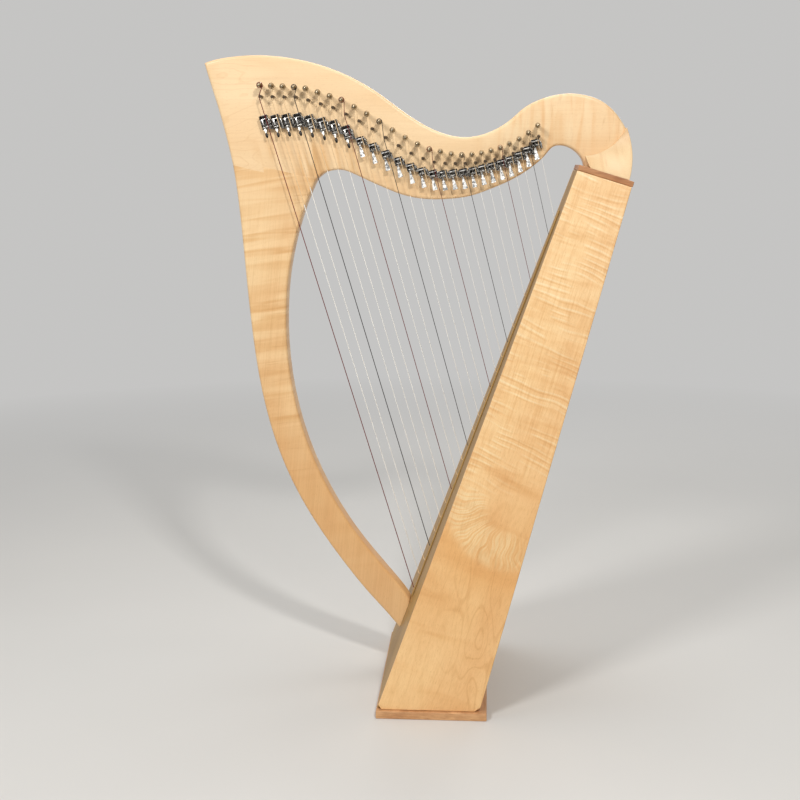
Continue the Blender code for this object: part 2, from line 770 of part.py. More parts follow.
def build_bridge_pin(index):
    """Grooved pin, driven into the neck, that ends a string's sounding length."""
    head_top = -BRIDGE_GROOVE_HALF - BRIDGE_HEAD_LENGTH
    profile = [(BRIDGE_HEAD_RADIUS, head_top), (BRIDGE_HEAD_RADIUS, -BRIDGE_GROOVE_HALF),
               (BRIDGE_GROOVE_RADIUS, 0.0), (BRIDGE_PIN_RADIUS, BRIDGE_GROOVE_HALF),
               (BRIDGE_PIN_RADIUS, NECK_NEAR + SEAT)]
    rings = [ring_across(radius, y, PIN_SIDES) for radius, y in profile]
    pin = prism_rings("bridge_pin", rings, None)
    place = string_layout(index)["bridge_pin"]
    pin.matrix_basis = Matrix.Translation((place.x, 0.0, place.y))
    return pin


def lever_matrix(index):
    """Frame of a lever: X across the string, Y into the neck, Z up along the string."""
    layout = string_layout(index)
    place = Matrix.Translation((layout["pivot"].x, LEVER_AXIS_Y, layout["pivot"].y))
    return place @ Matrix.Rotation(-layout["lean"], 4, "Y")


def lever_body(top):
    """Open tray with a top wall, two cheeks, the rivet across them and its screw."""
    back = NECK_NEAR + SEAT - LEVER_AXIS_Y
    floor = NECK_NEAR - BODY_BASE_THICK - LEVER_AXIS_Y
    front = BODY_FRONT_Y - LEVER_AXIS_Y
    height = top + BODY_BOTTOM
    body = box("lever_body", (BODY_LEFT, front, -BODY_BOTTOM),
               (BODY_RIGHT - BODY_LEFT, back - front, height))
    inside = box("lever_space", (BODY_LEFT + BODY_WALL, front - BODY_WALL, -BODY_BOTTOM - BODY_WALL),
                 (BODY_RIGHT - BODY_LEFT - 2.0 * BODY_WALL, floor - front + BODY_WALL, height))
    change(body, inside)
    ends = (BODY_LEFT + 0.5 * BODY_WALL, BODY_RIGHT - 0.5 * BODY_WALL)
    rivet = [ring_along(RIVET_RADIUS, x, SCREW_SIDES) for x in ends]
    change(body, prism_rings("rivet", rivet, None, False), "UNION")
    screw = prism_rings("screw", [ring_across(SCREW_RADIUS, y, SCREW_SIDES)
                                  for y in (floor - SCREW_HEIGHT, floor + 0.5 * BODY_BASE_THICK)],
                        None, False)
    screw.matrix_basis = Matrix.Translation((0.5 * (BODY_LEFT + BODY_RIGHT), 0.0, SCREW_BACK))
    change(body, screw, "UNION")
    return body


def box(name, corner, size):
    """Box from its lowest corner and its three sizes."""
    x, y, z = corner
    width, depth, height = size
    rings = [[Vector((x + dx, y + dy, level)) for dx, dy in
              ((0.0, 0.0), (width, 0.0), (width, depth), (0.0, depth))]
             for level in (z, z + height)]
    return prism_rings(name, rings, None, False)


def build_bridge_pins():
    pins = [build_bridge_pin(index) for index in range(STRING_COUNT)]
    return join_solids(pins[0], pins[1:])


def build_lever_bodies():
    """All the lever bodies, in their two sizes."""
    large = lever_body(LARGE_BODY_TOP)
    small = lever_body(SMALL_BODY_TOP)
    bodies = []
    for index in range(STRING_COUNT):
        model = large if index < LARGE_LEVER_COUNT else small
        body = bpy.data.objects.new("lever_body", model.data.copy())
        body.matrix_basis = lever_matrix(index)
        bodies.append(body)
    bpy.data.objects.remove(large)
    bpy.data.objects.remove(small)
    return join_solids(bodies[0], bodies[1:])


def lever_mesh(name, reach, tip_half, material):
    """Barrel with its cam lobe and hanging handle, bored for the rivet."""
    left = BODY_LEFT + BODY_WALL + GAP
    right = BODY_RIGHT - BODY_WALL - GAP
    lever = prism_rings(name, [ring_along(BARREL_RADIUS, x, PIN_SIDES) for x in (left, right)],
                        material)
    change(lever, lobe_solid(right), "UNION")
    change(lever, handle_solid(reach, tip_half), "UNION")
    bore = [ring_along(BARREL_BORE, x, SCREW_SIDES) for x in (left - BODY_WALL, right + BODY_WALL)]
    change(lever, prism_rings("bore", bore, None, False))
    mesh = lever.data
    bpy.data.objects.remove(lever)
    return mesh


def lobe_solid(right):
    """Cam lobe under the string, which points at the string when the lever is up."""
    rest = Matrix.Rotation(LEVER_SWING, 4, "X")
    left = right - LOBE_WIDTH
    rings = []
    for x in (left, right):
        rings.append([rest @ Vector((x, -reach, side)) for reach, side in
                      ((0.0, -LOBE_HALF), (LOBE_REACH, -LOBE_TIP_HALF),
                       (LOBE_REACH, LOBE_TIP_HALF), (0.0, LOBE_HALF))])
    return prism_rings("lobe", rings, None, False)


def handle_solid(reach, tip_half):
    """Flat handle that widens away from the barrel and leans off the neck."""
    lean = Matrix.Rotation(-HANDLE_LEAN, 4, "X")
    half = 0.5 * HANDLE_THICK
    rings = []
    for along, side in ((HANDLE_ROOT_AT, HANDLE_ROOT_HALF), (HANDLE_BEND_AT, HANDLE_ROOT_HALF),
                        (reach, tip_half)):
        rings.append([lean @ Vector((HANDLE_MIDDLE + dx, dy, -along)) for dx, dy in
                      ((-side, -half), (side, -half), (side, half), (-side, half))])
    return prism_rings("handle", rings, None, False)


def build_levers(material):
    """The levers that flip, each its own object with its origin on its rivet."""
    large = lever_mesh("large_lever", LARGE_HANDLE_REACH, LARGE_HANDLE_HALF, material)
    small = lever_mesh("small_lever", SMALL_HANDLE_REACH, SMALL_HANDLE_HALF, material)
    for index in range(STRING_COUNT):
        mesh = large if index < LARGE_LEVER_COUNT else small
        item = bpy.data.objects.new("lever_" + number(index), mesh)
        bpy.context.scene.collection.objects.link(item)
        item.matrix_basis = lever_matrix(index)


# Strings

def break_angles(index, layout):
    """Directions of a string before and after it bends round its bridge pin.

    After the pin it runs along the line that leaves the pin on its left and meets the
    coil on the tuning pin on its right.
    """
    offset = layout["tuning_pin"] - layout["bridge_pin"]
    crossing = math.asin((groove_radius(index) + coil_radius(index)) / offset.length)
    return QUARTER_TURN + layout["lean"], math.atan2(offset.y, offset.x) - crossing


def coil_points(index, layout):
    """Centre line of the turns round the tuning pin."""
    start = break_angles(index, layout)[1] - QUARTER_TURN
    step = math.tau / COIL_POINTS_PER_TURN
    climb = (2.0 * string_radius(index) + COIL_GAP) / COIL_POINTS_PER_TURN
    points = []
    for k in range(COIL_TURNS * COIL_POINTS_PER_TURN + 1):
        flat = layout["tuning_pin"] + heading(start + step * k) * coil_radius(index)
        points.append(Vector((flat.x, -climb * k, flat.y)))
    return points


def string_points(index):
    """Centre line of one string with its radii, from the knot to the tuning pin."""
    layout = string_layout(index)
    radius = string_radius(index)
    inside = layout["board_point"] + BOARD_IN * (BOARD_THICK + INNER_RIB_THICK + 2.0 * GAP)
    knot_top = inside + BOARD_IN * GAP
    knot_wide = knot_top + BOARD_IN * KNOT_NECK
    knot_end = knot_wide + BOARD_IN * KNOT_LENGTH
    route = [(knot_end, KNOT_END_SHARE * KNOT_RADIUS), (knot_wide, KNOT_RADIUS),
             (knot_top, radius), (layout["anchor"], radius)]
    before, after = break_angles(index, layout)
    for k in range(BREAK_STEPS + 1):
        angle = before + (after - before) * k / BREAK_STEPS
        flat = layout["bridge_pin"] + heading(angle + QUARTER_TURN) * groove_radius(index)
        route.append((flat, radius))
    points = [(Vector((flat.x, 0.0, flat.y)), size) for flat, size in route]
    return points + [(point, radius) for point in coil_points(index, layout)]


def least_coil_gap():
    """Smallest space between the turns of any string's coil, on its points."""
    least = 1.0
    for index in range(STRING_COUNT):
        coil = coil_points(index, string_layout(index))
        for i, here in enumerate(coil):
            for there in coil[i + COIL_POINTS_PER_TURN - 1:]:
                least = min(least, (there - here).length - 2.0 * string_radius(index))
    return least


def string_tube(index):
    """One unbroken tube for a string, with its knot and its coil."""
    curve = bpy.data.curves.new("string", "CURVE")
    curve.dimensions = "3D"
    curve.bevel_depth = string_radius(index)
    curve.bevel_resolution = 0
    curve.use_fill_caps = True
    points = string_points(index)
    spline = curve.splines.new("POLY")
    spline.points.add(len(points) - 1)
    for target, (place, size) in zip(spline.points, points):
        target.co = (*place, 1.0)
        target.radius = size / curve.bevel_depth
    route = bpy.data.objects.new("string", curve)
    bpy.context.scene.collection.objects.link(route)
    bpy.context.view_layer.update()
    graph = bpy.context.evaluated_depsgraph_get()
    mesh = bpy.data.meshes.new_from_object(route.evaluated_get(graph))
    bpy.data.objects.remove(route)
    tube = bpy.data.objects.new("string", mesh)
    bpy.context.scene.collection.objects.link(tube)
    return tube


def build_strings(material):
    """Outer rib with all the strings that pass through it."""
    rib = build_rib("strings", -GAP - OUTER_RIB_THICK, -GAP, material)
    tubes = [string_tube(index) for index in range(STRING_COUNT)]
    change(rib, join_solids(tubes[0], tubes[1:]), "UNION")
    print("least gap between turns of a string coil: %.2f mm" % (1000.0 * least_coil_gap()))


def build_harp():
    clear_scene()
    maple = make_material("maple", (0.78, 0.52, 0.27), 0.45)
    cherry = make_material("cherry", (0.42, 0.20, 0.09), 0.50)
    chrome = make_material("chrome", (0.75, 0.74, 0.72), 0.18, 1.0)
    nylon = make_material("nylon", (0.80, 0.78, 0.72), 0.35)
    build_base_plate(cherry)
    build_cap(cherry)
    build_soundbox_case(maple)
    build_soundboard(maple)
    build_pillar(maple)
    build_neck(maple)
    build_shoulder_block(maple)
    build_strings(nylon)
    build_tuning_pins(chrome)
    build_levers(chrome)


build_harp()
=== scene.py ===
"""Looks of the lever harp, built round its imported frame: varnished maple, strings and metal."""
import json
import math

import bmesh
import bpy
from mathutils import Matrix, Vector


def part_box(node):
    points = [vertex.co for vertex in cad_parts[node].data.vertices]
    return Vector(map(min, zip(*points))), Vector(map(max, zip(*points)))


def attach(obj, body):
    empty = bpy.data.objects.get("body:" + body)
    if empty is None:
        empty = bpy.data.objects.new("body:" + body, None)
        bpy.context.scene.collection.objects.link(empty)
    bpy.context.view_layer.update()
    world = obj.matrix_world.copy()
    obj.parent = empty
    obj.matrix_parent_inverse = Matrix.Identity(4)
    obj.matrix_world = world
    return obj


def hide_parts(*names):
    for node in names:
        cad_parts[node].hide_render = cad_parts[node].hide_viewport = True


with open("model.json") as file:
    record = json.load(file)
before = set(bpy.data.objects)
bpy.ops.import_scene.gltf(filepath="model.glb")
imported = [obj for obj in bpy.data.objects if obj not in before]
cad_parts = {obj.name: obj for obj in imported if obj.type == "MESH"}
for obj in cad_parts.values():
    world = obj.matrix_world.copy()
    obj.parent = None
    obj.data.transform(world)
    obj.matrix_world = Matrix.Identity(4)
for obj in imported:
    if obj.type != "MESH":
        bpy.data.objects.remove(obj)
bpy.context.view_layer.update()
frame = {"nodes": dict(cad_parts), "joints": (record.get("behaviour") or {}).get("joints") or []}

FRAME_BODY = "harp_frame"
STRING_COUNT = sum(1 for name in frame["nodes"] if name.startswith("lever_"))

# Fine steps of the curves and rounds
CURVE_STEPS = 14
ROUND_STEPS = 4
GAP = 0.0003

# Base plate, cap and soundbox, as the frame has them. The side panels' lower corners are
# clipped.
BASE_THICK = 0.011
PLATE_TOP = BASE_THICK + GAP
CAP_FRONT_HEIGHT = 0.750
CAP_TILT = math.radians(17.3)
CAP_THICK = 0.0075
CAP_OVERHANG = 0.0015
BOARD_FOOT_X = -0.0755
BOARD_LEAN = math.radians(20.0)
BOARD_THICK = 0.003
BACK_FOOT_X = 0.0664
BACK_LEAN = math.radians(15.5)
BACK_THICK = 0.004
SIDE_THICK = 0.005
BOX_FOOT_WIDTH = 0.286
BOX_TOP_WIDTH = 0.087
HOLE_RADII = (0.038, 0.032, 0.026, 0.020)
FIRST_HOLE_AT = 0.085
HOLE_PITCH = 0.185
FOOT_BLOCK_NEAR_Y = 0.010
FOOT_BLOCK_SPAN = (0.055, 0.115)
FOOT_BLOCK_DEPTH = 0.025
TOP_BLOCK_HEIGHT = 0.018
BRACE_COUNT = 3
FIRST_BRACE_AT = 0.150
BRACE_WIDTH = 0.014
BRACE_DEPTH = 0.010
SIDE_CLIP = 0.0065

# String ribs
RIB_WIDTH = 0.016
OUTER_RIB_THICK = 0.002
INNER_RIB_THICK = 0.003
LAST_ANCHOR_DROP = 0.0785
ANCHOR_PITCH = 0.0229
RIB_END_MARGIN = 0.012
STRING_RISE = 0.0010

# Neck and pillar
NECK_NEAR = 0.012
NECK_FAR = 0.042
EDGE_ROUND = 0.0040
JOINT_STEP = 0.008
JOINT_STEP_AT = -0.4354
NECK_FOOT_LEFT = 0.0101
NECK_FOOT_RIGHT = 0.0691
PILLAR_FOOT_LOW = 0.063
PILLAR_FOOT_HIGH = 0.1090

# Shoulder block
SHOULDER_FOOT_Y = -0.030
SHOULDER_EDGE_Y = 0.0085
SHOULDER_FOOT_LEFT = 0.0156
SHOULDER_FOOT_RIGHT = 0.0681
SHOULDER_BULGE = 0.0245
SHOULDER_FLARE = 1.35
SHOULDER_LEVELS = 14

# Pins and levers
TUNING_PIN_RADIUS = 0.0025
TUNING_PIN_NEAR_REACH = 0.010
TUNING_PIN_FAR_REACH = 0.016
TUNING_SQUARE_LENGTH = 0.012
TUNING_SQUARE_HALF = 0.0017
BRIDGE_PIN_RADIUS = 0.0020
BRIDGE_HEAD_RADIUS = 0.0022
BRIDGE_GROOVE_RADIUS = 0.0016
SEMITONE = 1.0 - 2.0 ** (-1.0 / 12.0)
LEVER_AXIS_Y = 0.0050
LARGE_LEVER_COUNT = 8
LARGE_BODY_TOP = 0.0165
SMALL_BODY_TOP = 0.0085
BODY_BOTTOM = 0.0025
BODY_LEFT = -0.0092
BODY_RIGHT = 0.0022
BODY_WALL = 0.0010
BODY_BASE_THICK = 0.0016
BODY_FRONT_Y = 0.0025
BARREL_RADIUS = 0.0022
RIVET_RADIUS = 0.0008
LOBE_REACH = 0.0040
LOBE_WIDTH = 0.0022
LEVER_SWING = math.radians(105.0)
HANDLE_MIDDLE = -0.0060
HANDLE_LEAN = math.radians(10.0)
SMALL_HANDLE_REACH = 0.0195
LARGE_HANDLE_REACH = 0.0150
HANDLE_THICK = 0.0013
ROOT_THICK = 0.0016
KNOB_BACK = 0.0039
KNOB_STRETCH = 1.85
SCREW_RADIUS = 0.0019
SCREW_HEIGHT = 0.0013
SCREW_BACK = 0.0050
SLOT_SIZE = (0.0022, 0.0012, 0.00045)
RAIL_Y = -0.0014
LARGE_RAIL_HEIGHT = 0.0112
SMALL_RAIL_HEIGHT = 0.0058
BRACKET_REACH = 0.0024

# Strings
BASS_STRING_DIAMETER = 0.0012
TREBLE_STRING_DIAMETER = 0.0006
COIL_TURNS = 2
COIL_POINTS_PER_TURN = 24
CAD_COIL_POINTS = 8
COIL_GAP = 0.0006
BREAK_STEPS = 8
QUARTER_TURN = math.radians(90.0)
KNOT_PROFILE = [(0.0006, 0.0), (0.0015, 0.0006), (0.0017, 0.0016), (0.0012, 0.0028),
                (0.0005, 0.0033)]

# Every seventh string is red, and every seventh from the fourth on is black
NOTES_PER_OCTAVE = 7
RED_NOTE = 0
BLACK_NOTE = 3

# Stretch of a string that is seen against the soundboard, as a share of the half width
FOOT_SHARE = 0.06

# Centre of the curl that fans out on the side panel, x and z
FAN_CENTRE = (0.108, 0.293)

# Floor, backdrop and lamps: place, size, power and colour
FLOOR_COLOR = (0.71, 0.705, 0.69)
FLOOR_HALF = 14.0
FLOOR_FADE = (0.9, 2.6)
BACKDROP_COLOR = (0.56, 0.556, 0.548)
AMBIENT_COLOR = (1.0, 0.985, 0.965)
AMBIENT_STRENGTH = 0.20
LAMP_TARGET = Vector((0.0, 0.0, 0.5))
LAMPS = {
    "left_lamp": ((-1.30, -1.85, 2.02), 0.55, 30.0, (1.0, 0.98, 0.95)),
    "right_lamp": ((0.65, -1.90, 2.05), 0.20, 27.0, (1.0, 0.98, 0.95)),
    "top_lamp": ((0.0, 0.35, 2.50), 1.2, 16.0, (1.0, 0.985, 0.96)),
    "back_lamp": ((0.6, 2.2, 1.9), 1.4, 16.0, (1.0, 0.99, 0.97)),
}

# Camera of the photograph
CAMERA_PLACE = (0.0730, -1.7518, 0.7606)
CAMERA_YAW = math.radians(4.055)
CAMERA_PITCH = math.radians(10.983)
CAMERA_ROLL = math.radians(-0.255)
CAMERA_LENS = 56.25
CAMERA_SENSOR = 36.0

# Outlines in the XZ plane: x and z in metres from the cap's front corner, direction of
# travel in degrees, and the lengths of the two curve handles, in and out. A chain of
# such nodes is a smooth curve.
NECK_TOP = [
    (-0.5154, 0.1400, 23, 0.000, 0.022),
    (-0.4364, 0.1500, -2, 0.018, 0.065),
    (-0.2754, 0.0990, -34, 0.050, 0.032),
    (-0.1604, 0.0380, -5, 0.046, 0.033),
    (-0.0824, 0.0690, 45, 0.021, 0.030),
    (-0.0034, 0.0950, -7, 0.019, 0.026),
    (0.0666, 0.0470, -61, 0.044, 0.012),
    (0.0726, 0.0180, -90, 0.012, 0.012),
]
NECK_UNDERSIDE = [
    (-0.3614, -0.0190, 45, 0.000, 0.014),
    (-0.3294, -0.0060, 1, 0.016, 0.014),
    (-0.2634, -0.0320, -22, 0.043, 0.012),
    (-0.1844, -0.0470, 3, 0.043, 0.037),
    (-0.1034, -0.0270, 22, 0.041, 0.027),
    (-0.0424, 0.0140, 52, 0.016, 0.010),
    (-0.0234, 0.0260, 0, 0.010, 0.016),
]
NECK_TAIL = [
    (-0.5154, 0.1400, -75, 0.000, 0.047),
    (-0.4794, 0.0010, -79, 0.070, 0.000),
]
SHOULDER_CURVE = [
    (0.0111, 0.0115, 8, 0.000, 0.012),
    (0.0406, 0.0205, 30, 0.014, 0.012),
    (0.0666, 0.0500, 62, 0.016, 0.000),
]

# The pillar's edges bow from straight lines between their ends: share of the line, rise
# off its left side, direction from the line's own, and the two curve handles. The outer
# edge runs down to the foot and the inner one up from it.
PILLAR_OUTER = [
    (0.0000, 0.0000, -9.8, 0.000, 0.078),
    (0.3668, -0.0634, -11.8, 0.100, 0.132),
    (0.8210, -0.0478, 17.2, 0.116, 0.080),
    (1.0000, 0.0000, 19.2, 0.056, 0.000),
]
PILLAR_INNER = [
    (0.0000, 0.0000, 10.1, 0.000, 0.020),
    (0.2144, 0.0641, 21.1, 0.062, 0.133),
    (0.7679, 0.0767, -16.9, 0.112, 0.062),
    (1.0000, 0.0000, -39.9, 0.041, 0.000),
]


# Geometry helpers

def heading(angle):
    return Vector((math.cos(angle), math.sin(angle)))


def smooth_chain(nodes, steps=CURVE_STEPS):
    points = [Vector(nodes[0][:2])]
    for start, end in zip(nodes[:-1], nodes[1:]):
        a = Vector(start[:2])
        b = a + heading(math.radians(start[2])) * start[4]
        d = Vector(end[:2])
        c = d - heading(math.radians(end[2])) * end[3]
        for step in range(1, steps + 1):
            t = step / steps
            s = 1.0 - t
            points.append(s ** 3 * a + 3 * s * s * t * b + 3 * s * t * t * c + t ** 3 * d)
    return points


def bowed(start, end, nodes):
    """Points of the smooth curve from start to end whose nodes bow from the line between."""
    line = end - start
    side = Vector((-line.y, line.x)).normalized()
    slope = math.degrees(math.atan2(line.y, line.x))
    chain = []
    for share, rise, turn, handle_in, handle_out in nodes:
        place = start + line * share + side * rise
        chain.append((place.x, place.y, slope + turn, handle_in, handle_out))
    return smooth_chain(chain)


def cross(a, b):
    return a.x * b.y - a.y * b.x


def meet(point, direction, other, other_direction):
    share = cross(other - point, other_direction) / cross(direction, other_direction)
    return point + direction * share


def leaning(lean):
    return Vector((math.sin(lean), math.cos(lean)))


def strip(foot, up, inward, low, high, outer, inner):
    """Corners of a strip along a panel, between two distances up it and two depths in."""
    return [foot + up * a + inward * d
            for a, d in ((low, outer), (low, inner), (high, inner), (high, outer))]


BOARD_UP = leaning(BOARD_LEAN)
BOARD_IN = Vector((BOARD_UP.y, -BOARD_UP.x))
BACK_UP = leaning(BACK_LEAN)
BACK_IN = Vector((-BACK_UP.y, BACK_UP.x))
CAP_ALONG = heading(-CAP_TILT)
CAP_UP = Vector((-CAP_ALONG.y, CAP_ALONG.x))
FLOOR_ALONG = Vector((1.0, 0.0))
BOARD_FOOT = Vector((BOARD_FOOT_X, PLATE_TOP))
BACK_FOOT = Vector((BACK_FOOT_X, PLATE_TOP))
BOARD_LENGTH = (CAP_FRONT_HEIGHT - PLATE_TOP) / BOARD_UP.y
CAP_FRONT = BOARD_FOOT + BOARD_UP * BOARD_LENGTH
UNDER_CAP = CAP_FRONT - CAP_UP * (CAP_THICK + GAP)


def on_board(depth, point, direction):
    return meet(BOARD_FOOT + BOARD_IN * depth, BOARD_UP, point, direction)


def on_back(depth, point, direction):
    return meet(BACK_FOOT + BACK_IN * depth, BACK_UP, point, direction)


def from_cap(nodes):
    """Nodes counted from the cap's front corner, as nodes in the frame."""
    return [(CAP_FRONT.x + x, CAP_FRONT.y + z, *rest) for x, z, *rest in nodes]


def on_cap(x):
    """Point just above the cap, at an x counted from the cap's front corner."""
    return meet(Vector((CAP_FRONT.x + x, 0.0)), Vector((0.0, 1.0)),
                CAP_FRONT + CAP_UP * GAP, CAP_ALONG)


def at(flat, y=0.0):
    return Matrix.Translation((flat.x, y, flat.y))


def half_width(z):
    share = (z - PLATE_TOP) / (CAP_FRONT_HEIGHT - PLATE_TOP)
    return 0.5 * (BOX_FOOT_WIDTH + (BOX_TOP_WIDTH - BOX_FOOT_WIDTH) * share)


# Object helpers

def linked(name, data):
    item = bpy.data.objects.new(name, data)
    bpy.context.scene.collection.objects.link(item)
    return item


def mesh_from(item):
    """Mesh of an object that isn't needed itself any more."""
    mesh = item.data
    bpy.data.objects.remove(item)
    return mesh


def show(name, mesh, material, smooth_angle=35.0):
    if material and not mesh.materials:
        mesh.materials.append(material)
    if smooth_angle:
        mesh.shade_smooth()
        mesh.set_sharp_from_angle(angle=math.radians(smooth_angle))
    return linked(name, mesh)


def to_mesh(name, bm):
    bmesh.ops.recalc_face_normals(bm, faces=bm.faces)
    mesh = bpy.data.meshes.new(name)
    bm.to_mesh(mesh)
    bm.free()
    return mesh


def settle(item):
    """Apply an object's modifiers and drop the cutters they used."""
    cutters = [m.object for m in item.modifiers if m.type == "BOOLEAN"]
    bpy.context.view_layer.update()
    graph = bpy.context.evaluated_depsgraph_get()
    mesh = bpy.data.meshes.new_from_object(item.evaluated_get(graph))
    item.modifiers.clear()
    item.data = mesh
    for cutter in cutters:
        bpy.data.objects.remove(cutter)
    return item


def cut(item, cutter):
    modifier = item.modifiers.new("cut", "BOOLEAN")
    modifier.operation = "DIFFERENCE"
    modifier.solver = "EXACT"
    modifier.object = cutter
    return settle(item)


def round_edges(item, width, segments=2, angle=35.0):
    modifier = item.modifiers.new("round", "BEVEL")
    modifier.width = width
    modifier.segments = segments
    modifier.limit_method = "ANGLE"
    modifier.angle_limit = math.radians(angle)
    modifier.harden_normals = True
    return settle(item)


def slab(name, outline, near, far, material, round_width=0.0, square=(), segments=ROUND_STEPS):
    """Solid over an XZ outline between two depths, its face rims rounded but for square edges."""
    def depth(value, z):
        return value(z) if callable(value) else value

    bm = bmesh.new()
    front = [bm.verts.new((p.x, depth(near, p.y), p.y)) for p in outline]
    back = [bm.verts.new((p.x, depth(far, p.y), p.y)) for p in outline]
    count = len(outline)
    bm.faces.new(front)
    bm.faces.new(back[::-1])
    rims = []
    for i in range(count):
        j = (i + 1) % count
        bm.faces.new((front[i], back[i], back[j], front[j]))
        if i not in square:
            rims.append(bm.edges.get((front[i], front[j])))
            rims.append(bm.edges.get((back[i], back[j])))
    bmesh.ops.recalc_face_normals(bm, faces=bm.faces)
    if round_width:
        bmesh.ops.bevel(bm, geom=rims, offset=round_width, segments=segments, profile=0.5,
                        affect="EDGES")
    return show(name, to_mesh(name, bm), material)


def rings_mesh(name, rings):
    bm = bmesh.new()
    loops = [[bm.verts.new(v) for v in ring] for ring in rings]
    count = len(loops[0])
    for low, high in zip(loops[:-1], loops[1:]):
        for i in range(count):
            j = (i + 1) % count
            bm.faces.new((low[i], low[j], high[j], high[i]))
    bm.faces.new(loops[0][::-1])
    bm.faces.new(loops[-1])
    return to_mesh(name, bm)


def turned_y(name, profile, sides):
    """Turned solid round the Y axis through (radius, y) pairs."""
    step = math.tau / sides
    return rings_mesh(name, [[Vector((r * math.cos(step * i), y, r * math.sin(step * i)))
                              for i in range(sides)] for r, y in profile])


def turned_x(name, profile, sides):
    """Turned solid round the X axis through (radius, x) pairs."""
    step = math.tau / sides
    return rings_mesh(name, [[Vector((x, r * math.cos(step * i), r * math.sin(step * i)))
                              for i in range(sides)] for r, x in profile])


def merge(name, parts, material, smooth_angle=35.0):
    """One object from meshes and their matrices, keeping their own materials."""
    materials = []
    bm = bmesh.new()
    for mesh, matrix, part_material in parts:
        part_material = part_material or material
        if part_material not in materials:
            materials.append(part_material)
        start = len(bm.faces)
        bm.from_mesh(mesh)
        bm.faces.ensure_lookup_table()
        new = bm.faces[start:]
        verts = list({v for f in new for v in f.verts})
        bmesh.ops.transform(bm, matrix=matrix, verts=verts)
        for face in new:
            face.material_index = materials.index(part_material)
    mesh = bpy.data.meshes.new(name)
    bm.to_mesh(mesh)
    bm.free()
    for part_material in materials:
        mesh.materials.append(part_material)
    return show(name, mesh, None, smooth_angle)


# Material helpers

WHITE = (1.0, 1.0, 1.0)
FLAME_TONES = ((0.30, (0.84, 0.72, 0.57)), (0.42, (0.92, 0.85, 0.75)), (0.52, WHITE),
               (0.62, (1.05, 1.08, 1.12)))
SOFT_TONES = ((0.32, (0.90, 0.81, 0.71)), (0.50, WHITE), (0.64, (1.02, 1.05, 1.08)))
HUMP_TONES = ((0.33, (0.94, 0.83, 0.71)), (0.43, (0.99, 0.96, 0.92)), (0.50, (1.01, 1.03, 1.05)),
              (0.62, (1.03, 1.09, 1.16)))
BAND_TONES = ((0.30, (0.93, 0.87, 0.79)), (0.50, WHITE), (0.62, (1.02, 1.06, 1.11)))
THIN_TONES = ((0.28, (0.78, 0.66, 0.52)), (0.38, WHITE))
BRIGHT = (1.04, 1.19, 1.42)
DUSKY = (0.91, 0.84, 0.74)
LINE_TONE = (0.84, 0.74, 0.62)


class Tree:
    """Short way to build the node tree of a material or a world."""

    def __init__(self, owner):
        owner.use_nodes = True
        self.owner = owner
        self.nodes = owner.node_tree.nodes
        self.links = owner.node_tree.links

    def add(self, kind, inputs=None, **settings):
        node = self.nodes.new(kind)
        for key, value in settings.items():
            setattr(node, key, value)
        for key, value in (inputs or {}).items():
            socket = node.inputs[key]
            if isinstance(value, bpy.types.NodeSocket):
                self.links.new(value, socket)
            elif socket.type == "RGBA":
                socket.default_value = (*value, 1.0)
            else:
                socket.default_value = value
        return node

    def ramp(self, factor, stops):
        node = self.add("ShaderNodeValToRGB", {0: factor})
        elements = node.color_ramp.elements
        while len(elements) < len(stops):
            elements.new(0.5)
        for element, (place, color) in zip(elements, stops):
            element.position = place
            element.color = (*color, 1.0)
        return node.outputs[0]

    def mix(self, kind, factor, a, b):
        return self.add("ShaderNodeMix", {0: factor, 6: a, 7: b}, data_type="RGBA",
                        blend_type=kind).outputs[2]

    def math(self, operation, a, b=0.0):
        return self.add("ShaderNodeMath", {0: a, 1: b}, operation=operation).outputs[0]

    def times(self, a, b):
        return self.math("MULTIPLY", a, b)

    def spread(self, value, start, end, low=0.0, high=1.0):
        """Value carried from start..end to low..high and held there."""
        node = self.add("ShaderNodeMapRange", {0: value, 1: start, 2: end, 3: low, 4: high})
        return node.outputs[0]

    def parts(self, vector):
        return self.add("ShaderNodeSeparateXYZ", {0: vector}).outputs

    def noise(self, vector, scale, detail=3.0, roughness=0.5, distortion=0.0):
        node = self.add("ShaderNodeMapping", {"Vector": vector, "Scale": scale})
        return self.add("ShaderNodeTexNoise", {"Vector": node.outputs[0], "Scale": 1.0,
                                               "Detail": detail, "Roughness": roughness,
                                               "Distortion": distortion}).outputs[0]


